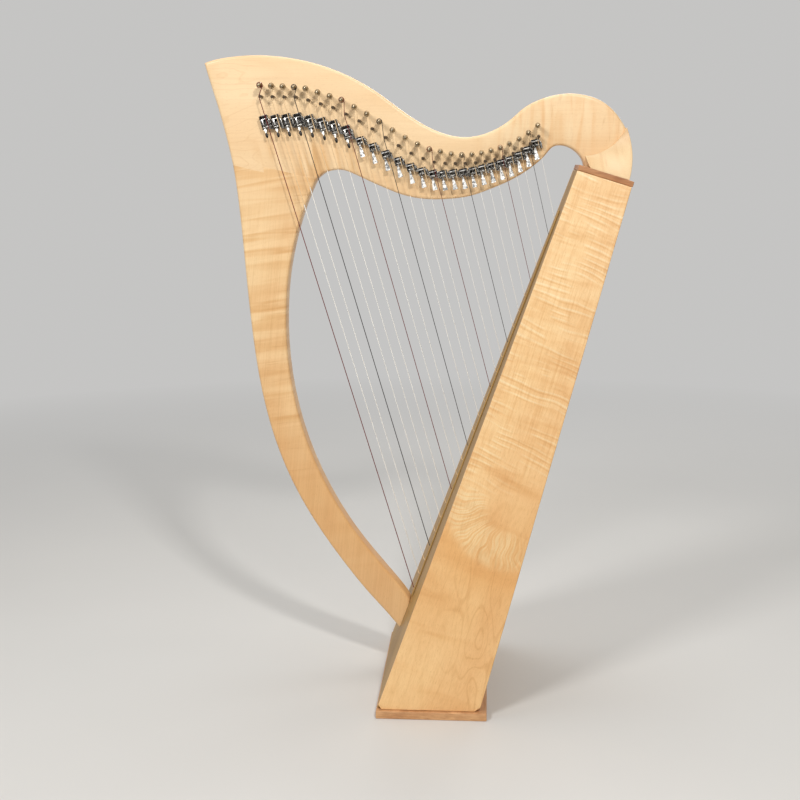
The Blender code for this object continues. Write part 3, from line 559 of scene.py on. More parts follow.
class Surface(Tree):
    """Material whose colour is worked up layer by layer."""

    def __init__(self, name):
        super().__init__(bpy.data.materials.new(name))
        self.shader = self.nodes["Principled BSDF"]
        self.place = self.add("ShaderNodeTexCoord").outputs["Object"]
        self.color = None

    def out(self, socket, target):
        self.links.new(socket, self.shader.inputs[target])

    def fix(self, target, value):
        self.shader.inputs[target].default_value = value

    def bump(self, height, strength, distance):
        node = self.add("ShaderNodeBump", {"Height": height, "Strength": strength,
                                           "Distance": distance})
        self.out(node.outputs[0], "Normal")

    def tint(self, amount, tone):
        self.color = self.mix("MULTIPLY", amount, self.color, tone)

    def turned(self, degrees):
        """Place in a frame turned round Y, whose X lies at an angle from +X in XZ."""
        node = self.add("ShaderNodeMapping", {"Vector": self.place})
        node.inputs["Rotation"].default_value = (0.0, math.radians(degrees), 0.0)
        return node.outputs[0]

    def patch(self, *ranges):
        """Mask that is 1 inside ranges of X or Z, each (axis, outside, inside)."""
        mask = None
        for axis, outside, inside in ranges:
            edge = self.spread(self.parts(self.place)[axis], outside, inside)
            mask = edge if mask is None else self.times(mask, edge)
        return mask

    def flames(self, turn, pitch, reach, tones, amount, mask=None, wander=0.8):
        """Curly figure: bands that follow each other along a direction, at about a pitch."""
        space = self.turned(turn)
        bands = self.noise(space, (1.0 / pitch, 1.0 / reach, 1.0 / reach), 2.5, 0.45, wander)
        strength = self.noise(space, (0.25 / pitch, 0.9 / reach, 0.9 / reach), 1.0)
        strength = self.times(self.spread(strength, 0.36, 0.60, 0.25, 1.0), amount)
        if mask is not None:
            strength = self.times(strength, mask)
        self.tint(strength, self.ramp(bands, tones))

    def streaks(self, turn, pitch, amount, mask):
        """Short bright streaks in clusters at a pitch along a direction, each with a dusky one."""
        space = self.turned(turn)
        wander = self.times(self.noise(space, (16.0, 9.0, 9.0), 1.5), 4.0)
        phase = self.math("ADD", self.math("DIVIDE", self.parts(space)[0], pitch), wander)
        cluster = self.spread(self.noise(space, (42.0, 24.0, 24.0), 1.5), 0.43, 0.58)
        strength = self.times(self.times(cluster, mask), amount)
        for shift, start, tone in ((0.0, 0.30, BRIGHT), (0.34, 0.34, DUSKY)):
            tooth = self.math("PINGPONG", self.math("ADD", phase, shift), 0.5)
            self.tint(self.times(self.spread(tooth, start, 0.48), strength), tone)

    def lines(self, turn, scale, count, amount, mask=None):
        """Growth lines: the contours of a smooth field drawn out along the grain."""
        field = self.noise(self.turned(turn), scale, 1.5, 0.35)
        cell = self.math("PINGPONG", self.times(field, count), 0.5)
        line = self.ramp(cell, ((0.0, LINE_TONE), (0.035, LINE_TONE), (0.11, WHITE)))
        self.tint(amount if mask is None else self.times(mask, amount), line)


def linear(r, g, b):
    """Linear colour from display values of 0 to 255."""
    def channel(value):
        value /= 255.0
        return value / 12.92 if value <= 0.04045 else ((value + 0.055) / 1.055) ** 2.4

    return (channel(r), channel(g), channel(b))


def shade(color, share):
    return tuple(share * c for c in color)


def maple(name, grain_turn, light, dark, figure=None, fibre=0.5, coat=0.18):
    """Satin maple: broad tone, fine fibres and flecks along the grain, then its figure.

    grain_turn is the angle of the grain from +X in the XZ plane, in degrees. figure is a
    function that adds flames and lines to the colour. Without a coat the wood is matt.
    """
    t = Surface(name)
    grain = t.turned(grain_turn)
    t.color = t.ramp(t.noise(grain, (2.5, 17.0, 17.0), 3.0), ((0.32, dark), (0.68, light)))
    fine = t.noise(grain, (9.0, 620.0, 620.0), 5.0, 0.65)
    t.tint(fibre, t.ramp(fine, ((0.34, (0.86, 0.81, 0.74)), (0.58, WHITE))))
    flecks = t.noise(grain, (170.0, 1500.0, 1500.0), 1.0)
    t.tint(0.6, t.ramp(flecks, ((0.28, (0.80, 0.70, 0.58)), (0.36, WHITE))))
    if figure:
        figure(t)
    t.out(t.color, "Base Color")
    t.out(t.spread(fine, 0.3, 0.7, 0.50, 0.38), "Roughness")
    t.fix("Specular IOR Level", 0.5 if coat else 0.15)
    t.fix("Coat Weight", coat)
    t.fix("Coat Roughness", 0.28)
    t.bump(fine, 0.10, 0.0002)
    return t.owner


def neck_figure(t):
    hump = t.patch((0, 0.040, 0.090))
    t.flames(-3.0, 0.0100, 0.090, HUMP_TONES, 1.0, hump, 0.5)
    t.flames(-2.0, 0.0050, 0.040, THIN_TONES, 0.50, hump, 0.4)
    # Flame bands below the levers: partly wood figure, partly painted shade of the levers'
    # shadows.
    under = t.patch((0, -0.262, -0.232), (0, -0.060, -0.120), (2, 0.815, 0.770))
    t.flames(14.0, 0.0105, 0.080, FLAME_TONES, 1.0, under)
    t.lines(8.0, (11.0, 38.0, 38.0), 8.0, 0.30, t.patch((0, -0.235, -0.262)))
    t.lines(-6.0, (2.2, 12.0, 12.0), 7.0, 0.12)


def pillar_figure(t):
    height = t.parts(t.place)[2]
    t.color = t.mix("MIX", t.spread(height, 0.620, 0.730, 0.0, 0.5), t.color, NECK_LIGHT)
    t.tint(t.spread(height, 0.705, 0.735, 0.0, 0.6), (0.95, 0.87, 0.77))
    # Painted shade: the pillar is darkened and warmed from mid height down, most just above the
    # foot, for the lamps' light falling off there.
    painted_falloff_shade = t.times(t.spread(height, 0.480, 0.280), t.spread(height, 0.090, 0.220, 0.3, 1.0))
    t.tint(painted_falloff_shade, (0.90, 0.79, 0.66))
    upper = t.patch((2, 0.280, 0.380))
    t.flames(98.0, 0.0125, 0.14, FLAME_TONES, 1.0, upper)
    t.flames(97.0, 0.0042, 0.06, THIN_TONES, 0.60, upper, 0.4)
    calmer_below = t.spread(height, 0.300, 0.460, 0.35, 1.0)
    t.flames(98.0, 0.034, 0.20, SOFT_TONES, 0.9, calmer_below)
    t.lines(84.0, (2.0, 22.0, 22.0), 7.0, 0.10)


def shoulder_figure(t):
    t.flames(5.0, 0.012, 0.08, SOFT_TONES, 0.9)
    t.flames(5.0, 0.005, 0.04, THIN_TONES, 0.35, None, 0.4)


def fan_of_curl(t):
    """Curl that fans out from a point, to its left and below it."""
    x, _, z = t.parts(t.place)
    dx = t.math("SUBTRACT", FAN_CENTRE[0], x)
    dz = t.math("SUBTRACT", FAN_CENTRE[1], z)
    radius = t.math("SQRT", t.math("ADD", t.times(dx, dx), t.times(dz, dz)))
    angle = t.math("ARCTAN2", dz, dx)
    wave = t.times(t.noise(t.place, (26.0, 26.0, 26.0), 1.0), 0.5)
    polar = t.add("ShaderNodeCombineXYZ", {0: t.math("ADD", angle, wave), 1: radius})
    spokes = t.noise(polar.outputs[0], (22.0, 14.0, 1.0), 2.0, 0.4)
    wedge = t.times(t.spread(angle, -0.55, -0.10), t.spread(angle, 2.05, 1.60))
    mask = t.times(t.spread(radius, 0.030, 0.044), t.spread(radius, 0.090, 0.080))
    tones = ((0.36, (0.96, 0.92, 0.86)), (0.46, (1.0, 1.02, 1.04)), (0.56, (1.03, 1.19, 1.40)))
    t.tint(t.times(mask, wedge), t.ramp(spokes, tones))
    below = t.times(t.spread(radius, 0.086, 0.094), t.spread(radius, 0.135, 0.105))
    t.tint(t.times(below, wedge), (0.96, 0.89, 0.79))


def side_figure(t):
    """Bright streaks over the upper part, a fan of curl below, growth lines at the foot."""
    z = t.parts(t.place)[2]
    upper = t.spread(z, 0.300, 0.350)
    t.flames(72.0, 0.0085, 0.060, BAND_TONES, 1.0, upper, 0.4)
    t.flames(73.0, 0.030, 0.12, SOFT_TONES, 0.9)
    t.streaks(67.0, 0.0088, 0.95, upper)
    t.flames(-17.0, 0.0028, 0.070, SOFT_TONES, 0.75, upper, 0.2)
    fan_of_curl(t)
    right = t.times(t.spread(z, 0.255, 0.215), t.patch((0, -0.010, 0.050)))
    t.lines(80.0, (8.0, 26.0, 26.0), 10.0, 0.50, right)
    t.lines(74.0, (2.0, 26.0, 26.0), 9.0, 0.22)
    t.tint(t.times(t.spread(z, 0.095, 0.150), t.spread(z, 0.330, 0.240)), (0.95, 0.90, 0.83))
    t.tint(1.0, t.ramp(t.spread(z, 0.050, 0.700), ((0.0, (0.98, 0.92, 0.82)), (1.0, WHITE))))


def back_figure(t):
    t.flames(74.5, 0.012, 0.06, BAND_TONES, 0.8)
    t.lines(74.5, (3.0, 20.0, 20.0), 11.0, 0.45)


def board_figure(t):
    t.lines(70.0, (1.0, 70.0, 70.0), 14.0, 0.35)


def reddish_wood(name, light, dark):
    """Straight-grained reddish wood with fine pores along X and Y."""
    t = Surface(name)
    fine = t.noise(t.place, (60.0, 7.0, 420.0), 6.0, 0.62)
    t.color = t.ramp(t.noise(t.place, (26.0, 3.0, 60.0)), ((0.3, dark), (0.7, light)))
    t.tint(0.7, t.ramp(fine, ((0.35, (0.62, 0.52, 0.44)), (0.60, WHITE))))
    t.out(t.color, "Base Color")
    t.fix("Roughness", 0.46)
    t.bump(fine, 0.18, 0.0002)
    return t.owner


def metal(name, color, roughness, wear=0.06, painted_reflection=None, share=0.52, pitch=620.0):
    """Plated metal with faint smears and fine scratches, and speckles of painted reflection where
    given.
    """
    t = Surface(name)
    smear = t.noise(t.place, (240.0, 240.0, 240.0))
    t.out(t.spread(smear, 0.3, 0.7, roughness, roughness + wear), "Roughness")
    t.color = t.ramp(smear, ((0.35, shade(color, 0.88)), (0.65, color)))
    if painted_reflection:
        # Painted reflection: speckles of the given colour stand for dark surroundings mirrored in
        # the metal.
        reflection_specks = t.noise(t.place, (pitch, pitch, pitch), 2.0, 0.6)
        t.color = t.mix("MIX", t.spread(reflection_specks, share - 0.06, share + 0.06), painted_reflection, t.color)
    t.out(t.color, "Base Color")
    t.fix("Metallic", 1.0)
    t.bump(t.noise(t.place, (300.0, 4000.0, 300.0), 2.0), 0.06, 0.0001)
    return t.owner


def nylon(name, color):
    """String: smooth, with a thin coat and a faint unevenness."""
    t = Surface(name)
    uneven = t.noise(t.place, (900.0, 900.0, 900.0), 2.0)
    t.out(t.ramp(uneven, ((0.3, shade(color, 0.88)), (0.7, color))), "Base Color")
    t.fix("Roughness", 0.28)
    t.fix("Coat Weight", 0.3)
    return t.owner


NECK_LIGHT = linear(247, 217, 173)
M_NECK = maple("neck_maple", 0.0, NECK_LIGHT, linear(241, 203, 155), neck_figure, 0.30)
M_PILLAR = maple("pillar_maple", 84.0, linear(248, 213, 162), linear(238, 195, 141),
                 pillar_figure)
M_SHOULDER = maple("shoulder_maple", 80.0, linear(233, 206, 163), linear(226, 194, 149),
                   shoulder_figure, 0.30)
M_SIDE = maple("side_maple", 72.0, linear(250, 212, 158), linear(240, 195, 140), side_figure)
M_BOARD = maple("board_maple", 70.0, linear(192, 156, 98), linear(170, 134, 80), board_figure,
                coat=0.0)
M_BACK = maple("back_maple", 74.5, linear(240, 204, 152), linear(224, 182, 128), back_figure)
M_RIB = maple("rib_maple", 70.0, linear(194, 160, 104), linear(172, 138, 85), coat=0.0)
M_INSIDE = maple("inside_maple", 90.0, linear(222, 190, 145), linear(204, 168, 122))
M_CHERRY = reddish_wood("reddish_wood", linear(200, 148, 104), linear(176, 122, 82))
M_BASE = reddish_wood("base_wood", linear(224, 176, 126), linear(206, 152, 104))
M_CHROME = metal("chrome", (0.86, 0.85, 0.83), 0.14)
# Painted reflection: grey patches break up the light mirrored in the satin chrome.
M_PADDLE = metal("satin_chrome_painted_reflection", (0.88, 0.87, 0.84), 0.24, 0.20, (0.22, 0.22, 0.22), 0.46,
                 330.0)
M_STEEL = metal("steel", (0.50, 0.49, 0.47), 0.24, 0.12)
# Painted reflection: dark speckles over the lever bodies stand for dark surroundings mirrored in
# the steel.
M_TRAY = metal("steel_with_painted_reflection", (0.62, 0.60, 0.56), 0.30, 0.15, (0.025, 0.022, 0.020))
# Black steel for the knobs; the same black stands as painted shade on the tops of the lever
# bodies.
M_DARK = metal("black_steel_and_painted_shade", (0.035, 0.032, 0.030), 0.30, 0.10)
# Bronze tone, darkened further as painted reflection of dark surroundings.
M_PIN = metal("bronze_steel_painted_dark_reflection", (0.34, 0.28, 0.19), 0.18, 0.08)
M_BRIDGE = metal("brown_steel", (0.15, 0.11, 0.075), 0.26, 0.08)
M_BRASS = metal("aged_brass", (0.52, 0.40, 0.22), 0.26, 0.10)
M_NYLON = nylon("clear_nylon", linear(252, 250, 244))
M_CLEAR = nylon("clear_nylon_on_wood", linear(240, 208, 162))
M_COIL = nylon("wound_nylon", linear(168, 142, 104))
M_RED = nylon("red_nylon", linear(112, 28, 24))
M_BLACK = nylon("dark_nylon", linear(38, 34, 36))


def joined(piece, slot, *nodes, body=FRAME_BODY):
    """Ride a piece on a body and hide the frame's parts that it stands for."""
    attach(piece, body)
    if nodes:
        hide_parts(*nodes)
    return piece


# Soundbox

def build_base():
    low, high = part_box("base_plate")
    outline = [Vector((low[0], low[2])), Vector((high[0], low[2])),
               Vector((high[0], high[2])), Vector((low[0], high[2]))]
    plate = slab("base_plate_wood", outline, low[1], high[1], M_BASE)
    joined(round_edges(plate, 0.0012, 3), "cherry", "base_plate")


def build_cap():
    low = CAP_FRONT - CAP_UP * CAP_THICK
    outline = [on_board(0.0, low, CAP_ALONG), on_back(-CAP_OVERHANG, low, CAP_ALONG),
               on_back(-CAP_OVERHANG, CAP_FRONT, CAP_ALONG), CAP_FRONT]
    half = 0.5 * BOX_TOP_WIDTH
    cap = slab("cap_wood", outline, -half, half, M_CHERRY)
    joined(round_edges(cap, 0.0010, 3), "cherry", "cap")


def clipped(outline, corners, size):
    """Outline whose corners of the given numbers are cut off at a distance from them."""
    points = []
    for index, point in enumerate(outline):
        if index not in corners:
            points.append(point)
            continue
        before = outline[index - 1]
        after = outline[(index + 1) % len(outline)]
        points.append(point + (before - point).normalized() * size)
        points.append(point + (after - point).normalized() * size)
    return points


def inside_half(z):
    """Half of the room between the side panels."""
    return half_width(z) - SIDE_THICK - GAP


def across(name, outline, material, near=None):
    """Solid between the side panels, from the near one or from a depth that is given."""
    return slab(name, outline, near or (lambda z: -inside_half(z)), inside_half, material)


def build_case():
    outline = [BOARD_FOOT, BACK_FOOT, on_back(0.0, UNDER_CAP, CAP_ALONG),
               on_board(0.0, UNDER_CAP, CAP_ALONG)]
    outline = clipped(outline, (0, 1), SIDE_CLIP)
    near = slab("near_side", outline, lambda z: -half_width(z),
                lambda z: SIDE_THICK - half_width(z), M_SIDE)
    far = slab("far_side", outline, lambda z: half_width(z) - SIDE_THICK, half_width, M_SIDE)
    joined(round_edges(near, 0.0012, 3), "maple", "soundbox_case")
    joined(round_edges(far, 0.0012, 3), "maple")
    outline = [on_back(0.0, BOARD_FOOT, FLOOR_ALONG), on_back(BACK_THICK, BOARD_FOOT, FLOOR_ALONG),
               on_back(BACK_THICK, UNDER_CAP, CAP_ALONG), on_back(0.0, UNDER_CAP, CAP_ALONG)]
    back = across("back_panel", outline, M_BACK)
    turn = Matrix.Rotation(BACK_LEAN, 4, "Y") @ Matrix.Rotation(QUARTER_TURN, 4, "Z")
    for index, radius in enumerate(HOLE_RADII):
        middle = BACK_FOOT + BACK_UP * (FIRST_HOLE_AT + HOLE_PITCH * index)
        cutter = show("hole", turned_y("hole", [(radius, -0.02), (radius, 0.02)], 96), None, 0.0)
        cutter.matrix_basis = at(middle) @ turn
        cut(back, cutter)
    joined(round_edges(back, 0.0010, 3), "maple")
    build_box_inside()


def build_box_inside():
    board_inside = BOARD_THICK + 2.0 * GAP
    back_inside = BACK_THICK + GAP
    high = UNDER_CAP - CAP_UP * GAP
    low = high - CAP_UP * TOP_BLOCK_HEIGHT
    bars = {
        "foot_block": strip(BOARD_FOOT, BOARD_UP, BOARD_IN, *FOOT_BLOCK_SPAN, board_inside,
                            board_inside + FOOT_BLOCK_DEPTH),
        "top_block": [on_board(board_inside, low, CAP_ALONG), on_back(back_inside, low, CAP_ALONG),
                      on_back(back_inside, high, CAP_ALONG),
                      on_board(board_inside, high, CAP_ALONG)],
    }
    for index in range(BRACE_COUNT):
        start = FIRST_BRACE_AT + HOLE_PITCH * index
        bars["back_brace_%d" % (index + 1)] = strip(
            BACK_FOOT, BACK_UP, BACK_IN, start, start + BRACE_WIDTH, back_inside,
            BACK_THICK + BRACE_DEPTH)
    for name, corners in bars.items():
        near = FOOT_BLOCK_NEAR_Y if name == "foot_block" else None
        joined(round_edges(across(name, corners, M_INSIDE, near), 0.0010, 2), "maple")


def rib_span():
    high = BOARD_LENGTH - LAST_ANCHOR_DROP
    return high - ANCHOR_PITCH * (STRING_COUNT - 1) - RIB_END_MARGIN, high + RIB_END_MARGIN


def build_board():
    outline = [BOARD_FOOT, on_board(BOARD_THICK, BOARD_FOOT, FLOOR_ALONG),
               on_board(BOARD_THICK, UNDER_CAP, CAP_ALONG), on_board(0.0, UNDER_CAP, CAP_ALONG)]
    board = across("soundboard_wood", outline, M_BOARD)
    joined(round_edges(board, 0.0009, 3), "maple", "soundboard")
    for name, outer, inner in (("outer_rib", -GAP - OUTER_RIB_THICK, -GAP),
                               ("inner_rib", BOARD_THICK, BOARD_THICK + INNER_RIB_THICK)):
        corners = strip(BOARD_FOOT, BOARD_UP, BOARD_IN, *rib_span(), outer, inner)
        rib = slab(name, corners, -0.5 * RIB_WIDTH, 0.5 * RIB_WIDTH, M_RIB)
        joined(round_edges(rib, 0.0007, 3), "maple")


# Neck, pillar and shoulder

def joint_line():
    outer = CAP_FRONT + Vector(NECK_TAIL[-1][:2])
    inner = CAP_FRONT + Vector(NECK_UNDERSIDE[0][:2])
    along = inner - outer - Vector((0.0, JOINT_STEP))
    low = outer + along * ((CAP_FRONT.x + JOINT_STEP_AT - outer.x) / along.x)
    return [outer, low, low + Vector((0.0, JOINT_STEP)), inner]


def neck_outline():
    """Outline of the neck, and the numbers of its edges that stay square."""
    foot_right = on_cap(NECK_FOOT_RIGHT)
    foot_left = on_cap(NECK_FOOT_LEFT)
    top = smooth_chain(from_cap(NECK_TOP) + [(*foot_right, -97, 0.012, 0.0)])
    under = smooth_chain(from_cap(NECK_UNDERSIDE) + [(*foot_left, -88, 0.014, 0.0)])
    tail = smooth_chain(from_cap(NECK_TAIL))
    joint = joint_line()
    outline = top + under[::-1] + joint[2:0:-1] + tail[:0:-1]
    inner = len(top) + len(under) - 1
    return outline, {len(top) - 1, inner, inner + 1, inner + 2}


def pillar_outline():
    """Outline of the pillar, and the numbers of its edges that stay square."""
    foot_low = BOARD_FOOT + BOARD_UP * PILLAR_FOOT_LOW - BOARD_IN * GAP
    foot_high = BOARD_FOOT + BOARD_UP * PILLAR_FOOT_HIGH - BOARD_IN * GAP
    joint = joint_line()
    outer = bowed(joint[0], foot_low, PILLAR_OUTER)
    inner = bowed(foot_high, joint[3], PILLAR_INNER)
    outline = outer + inner + joint[2:0:-1]
    start = len(outer) + len(inner) - 1
    return outline, {len(outer) - 1, start, start + 1, start + 2}


def build_neck_and_pillar():
    for name, (outline, square), material in (("neck", neck_outline(), M_NECK),
                                              ("pillar", pillar_outline(), M_PILLAR)):
        joined(slab(name + "_wood", outline, NECK_NEAR, NECK_FAR, material, EDGE_ROUND, square),
               "maple", name)


def build_shoulder():
    """Block whose near face flares from the neck out over the cap."""
    edge = smooth_chain(from_cap(SHOULDER_CURVE))
    levels = SHOULDER_LEVELS
    bm = bmesh.new()
    near, far = [], []
    for index, tip in enumerate(edge):
        share = index / (len(edge) - 1)
        foot = on_cap(SHOULDER_FOOT_LEFT + (SHOULDER_FOOT_RIGHT - SHOULDER_FOOT_LEFT) * share)
        near_column, far_column = [], []
        for level in range(levels + 1):
            t = level / levels
            flat = foot.lerp(tip, t)
            flat.x += SHOULDER_BULGE * share * share * t * (1.0 - t)
            flare = (SHOULDER_FOOT_Y - SHOULDER_EDGE_Y) * (1.0 - t) ** SHOULDER_FLARE
            near_column.append(bm.verts.new((flat.x, SHOULDER_EDGE_Y + flare, flat.y)))
            far_column.append(bm.verts.new((flat.x, NECK_NEAR - GAP, flat.y)))
        near.append(near_column)
        far.append(far_column)
    for i in range(len(edge) - 1):
        for k in range(levels):
            bm.faces.new((near[i][k], near[i + 1][k], near[i + 1][k + 1], near[i][k + 1]))
            bm.faces.new((far[i][k], far[i][k + 1], far[i + 1][k + 1], far[i + 1][k]))
        bm.faces.new((near[i][levels], near[i + 1][levels], far[i + 1][levels], far[i][levels]))
        bm.faces.new((near[i][0], far[i][0], far[i + 1][0], near[i + 1][0]))
    for k in range(levels):
        bm.faces.new((near[0][k], near[0][k + 1], far[0][k + 1], far[0][k]))
        bm.faces.new((near[-1][k], far[-1][k], far[-1][k + 1], near[-1][k + 1]))
    block = show("shoulder_wood", to_mesh("shoulder_wood", bm), M_SHOULDER)
    joined(round_edges(block, 0.0014, 3, 50.0), "maple", "shoulder_block")


# Places of strings, pins and levers, from the frame's joints

JOINTS = {joint["name"]: joint for joint in frame["joints"]}


def string_radius(index):
    share = index / (STRING_COUNT - 1)
    ratio = TREBLE_STRING_DIAMETER / BASS_STRING_DIAMETER
    return 0.5 * BASS_STRING_DIAMETER * ratio ** share


def body_top(index):
    return LARGE_BODY_TOP if index < LARGE_LEVER_COUNT else SMALL_BODY_TOP


def layout(index):
    """Where a string runs, worked out from its lever's pivot and its tuning pin."""
    lever = JOINTS["lever_flip_%02d" % (index + 1)]
    pin = JOINTS["pin_turn_%02d" % (index + 1)]
    pivot = Vector((lever["pos_m"][0], lever["pos_m"][2]))
    right = Vector((-lever["axis"][0], -lever["axis"][2]))
    up = Vector((-right.y, right.x))
    rest_depth = -(OUTER_RIB_THICK + GAP + STRING_RISE)
    anchor = meet(BOARD_FOOT + BOARD_IN * rest_depth, BOARD_UP, pivot, up)
    by_semitone = (pivot - anchor).length / (1.0 - SEMITONE)
    by_room = (pivot - anchor).length + body_top(index) + BRIDGE_HEAD_RADIUS + GAP
    contact = anchor + up * max(by_semitone, by_room)
    bridge_pin = contact + right * (BRIDGE_GROOVE_RADIUS + GAP + string_radius(index))
    tuning_pin = Vector((pin["pos_m"][0], pin["pos_m"][2]))
    return {"pivot": pivot, "right": right, "up": up, "anchor": anchor, "contact": contact,
            "bridge_pin": bridge_pin, "tuning_pin": tuning_pin,
            "lean": math.atan2(right.y, right.x)}


def lever_matrix(place):
    spot = Matrix.Translation((place["pivot"].x, LEVER_AXIS_Y, place["pivot"].y))
    return spot @ Matrix.Rotation(-place["lean"], 4, "Y")


# Strings

def lies_in(point, outline):
    """Whether a point of the XZ plane lies inside an outline."""
    inside = False
    for a, b in zip(outline, outline[1:] + outline[:1]):
        if (a.y > point.y) != (b.y > point.y):
            if point.x < a.x + (b.x - a.x) * (point.y - a.y) / (b.y - a.y):
                inside = not inside
    return inside


def wood_edge(place, outlines):
    """Point of the string where it comes in front of the neck or the pillar."""
    for step in range(201):
        point = place["anchor"].lerp(place["contact"], step / 200)
        if any(lies_in(point, outline) for outline in outlines):
            break
    return point


def string_curve(index, place, outlines):
    radius = string_radius(index)
    groove = BRIDGE_GROOVE_RADIUS + GAP + radius
    around = (TUNING_PIN_RADIUS + GAP + radius) / math.cos(math.pi / CAD_COIL_POINTS)
    centre = place["tuning_pin"]
    offset = centre - place["bridge_pin"]
    before = QUARTER_TURN + place["lean"]
    after = math.atan2(offset.y, offset.x) - math.asin((groove + around) / offset.length)
    board_point = place["anchor"] + BOARD_IN * (OUTER_RIB_THICK + GAP + STRING_RISE)
    inside = board_point + BOARD_IN * (BOARD_THICK + INNER_RIB_THICK + 4.0 * GAP)
    foot_top = place["anchor"] + place["up"] * (FOOT_SHARE * half_width(place["anchor"].y))
    edge = wood_edge(place, outlines)
    foot = [inside, place["anchor"] + (inside - place["anchor"]) * 0.06,
            place["anchor"] + place["up"] * 0.0006, foot_top]
    over = [edge]
    for k in range(BREAK_STEPS + 1):
        angle = before + (after - before) * k / BREAK_STEPS
        over.append(place["bridge_pin"] + heading(angle + QUARTER_TURN) * groove)
    foot, free, over = ([Vector((p.x, 0.0, p.y)) for p in flat]
                        for flat in (foot, [foot_top, edge], over))
    climb = (2.0 * radius + COIL_GAP) / COIL_POINTS_PER_TURN
    coil = []
    for k in range(COIL_TURNS * COIL_POINTS_PER_TURN + 1):
        angle = after - QUARTER_TURN + math.tau * k / COIL_POINTS_PER_TURN
        spot = centre + heading(angle) * around
        coil.append(Vector((spot.x, -climb * k, spot.y)))
    main = {RED_NOTE: M_RED, BLACK_NOTE: M_BLACK}.get(index % NOTES_PER_OCTAVE, M_NYLON)
    clear = main == M_NYLON
    name = "string_%02d" % (index + 1)
    curve = bpy.data.curves.new(name, "CURVE")
    curve.dimensions = "3D"
    curve.bevel_depth = radius
    curve.bevel_resolution = 2
    curve.use_fill_caps = True
    for material in (main, M_CLEAR if clear else main, M_COIL if clear else main):
        curve.materials.append(material)
    for slot, points in ((1, foot), (0, free), (1, over + coil[:1]), (2, coil)):
        spline = curve.splines.new("POLY")
        spline.points.add(len(points) - 1)
        spline.material_index = slot
        for target, point in zip(spline.points, points):
            target.co = (*point, 1.0)
    return linked(name, curve), inside


def build_strings(places):
    knots = []
    outlines = [neck_outline()[0], pillar_outline()[0]]
    for index, place in enumerate(places):
        item, inside = string_curve(index, place, outlines)
        joined(item, "nylon", *(["strings"] if index == 0 else []))
        turn = Matrix.Rotation(BOARD_LEAN, 4, "Y")
        knots.append((turned_x("knot", KNOT_PROFILE, 12), at(inside) @ turn, None))
    joined(merge("string_knots", knots, M_NYLON), "nylon")


# Pins

def build_tuning_pins(places):
    end = NECK_FAR + TUNING_PIN_FAR_REACH
    square_start = end - TUNING_SQUARE_LENGTH
    r = TUNING_PIN_RADIUS
    tip = -TUNING_PIN_NEAR_REACH
    profile = [(0.10 * r, tip), (0.50 * r, tip + 0.00034), (0.80 * r, tip + 0.0010),
               (0.96 * r, tip + 0.0018), (r, tip + 0.0025), (0.96 * r, tip + 0.0032),
               (0.90 * r, tip + 0.0038), (0.90 * r, tip + 0.0050), (r, tip + 0.0053),
               (r, square_start - 0.0009), (0.72 * r, square_start)]
    round_part = turned_y("pin_round", profile, 32)
    rings = []
    for y, inset in ((square_start - 0.0005, 0.0), (end - 0.0005, 0.0), (end, 0.0005)):
        h = TUNING_SQUARE_HALF - inset
        rings.append([Vector((x * h, y, z * h)) for x, z in ((1, 1), (-1, 1), (-1, -1), (1, -1))])
    square = rings_mesh("pin_square", rings)
    for index, place in enumerate(places):
        name = "tuning_pin_%02d" % (index + 1)
        spot = at(place["tuning_pin"])
        pin = merge("pin_metal_%02d" % (index + 1),
                    [(round_part, spot, None), (square, spot, None)], M_PIN, 60.0)
        joined(pin, "chrome", name, body=name)


def build_bridge_pins(places):
    g, h, r = BRIDGE_GROOVE_RADIUS, BRIDGE_HEAD_RADIUS, BRIDGE_PIN_RADIUS
    profile = [(0.4 * h, -0.0030), (0.8 * h, -0.0029), (h, -0.0025), (h, -0.0014),
               (0.95 * h, -0.0011), (g + 0.0001, -0.0006), (g, 0.0), (g + 0.0001, 0.0006),
               (r, 0.0012), (r, NECK_NEAR + 0.001)]
    mesh = turned_y("bridge_pin", profile, 28)
    pins = [(mesh, at(place["bridge_pin"]), None) for place in places]
    joined(merge("bridge_pins", pins, M_BRIDGE), "chrome")


# Levers and their bodies

def tray_mesh(top):
    back = NECK_NEAR - LEVER_AXIS_Y
    floor = back - BODY_BASE_THICK
    front = BODY_FRONT_Y - LEVER_AXIS_Y
    x0, x1, low = BODY_LEFT, BODY_RIGHT, -BODY_BOTTOM
    a, b, c = x0 + BODY_WALL, x1 - BODY_WALL, top - BODY_WALL
    corners = [(x0, back, top), (x1, back, top), (x1, back, low), (x0, back, low),
               (x0, front, top), (x1, front, top), (x1, front, low), (x0, front, low),
               (a, floor, c), (b, floor, c), (b, floor, low), (a, floor, low),
               (a, front, c), (b, front, c), (b, front, low), (a, front, low)]
    faces = [(0, 1, 2, 3), (0, 4, 5, 1), (0, 3, 7, 4), (1, 5, 6, 2),
             (8, 11, 10, 9), (8, 9, 13, 12), (8, 12, 15, 11), (9, 10, 14, 13),
             (4, 7, 15, 12, 13, 14, 6, 5), (3, 2, 6, 14, 10, 11, 15, 7)]
    bm = bmesh.new()
    verts = [bm.verts.new(corner) for corner in corners]
    for face in faces:
        bm.faces.new([verts[i] for i in face])
    return mesh_from(round_edges(show("tray", to_mesh("tray", bm), None), 0.0003, 2))


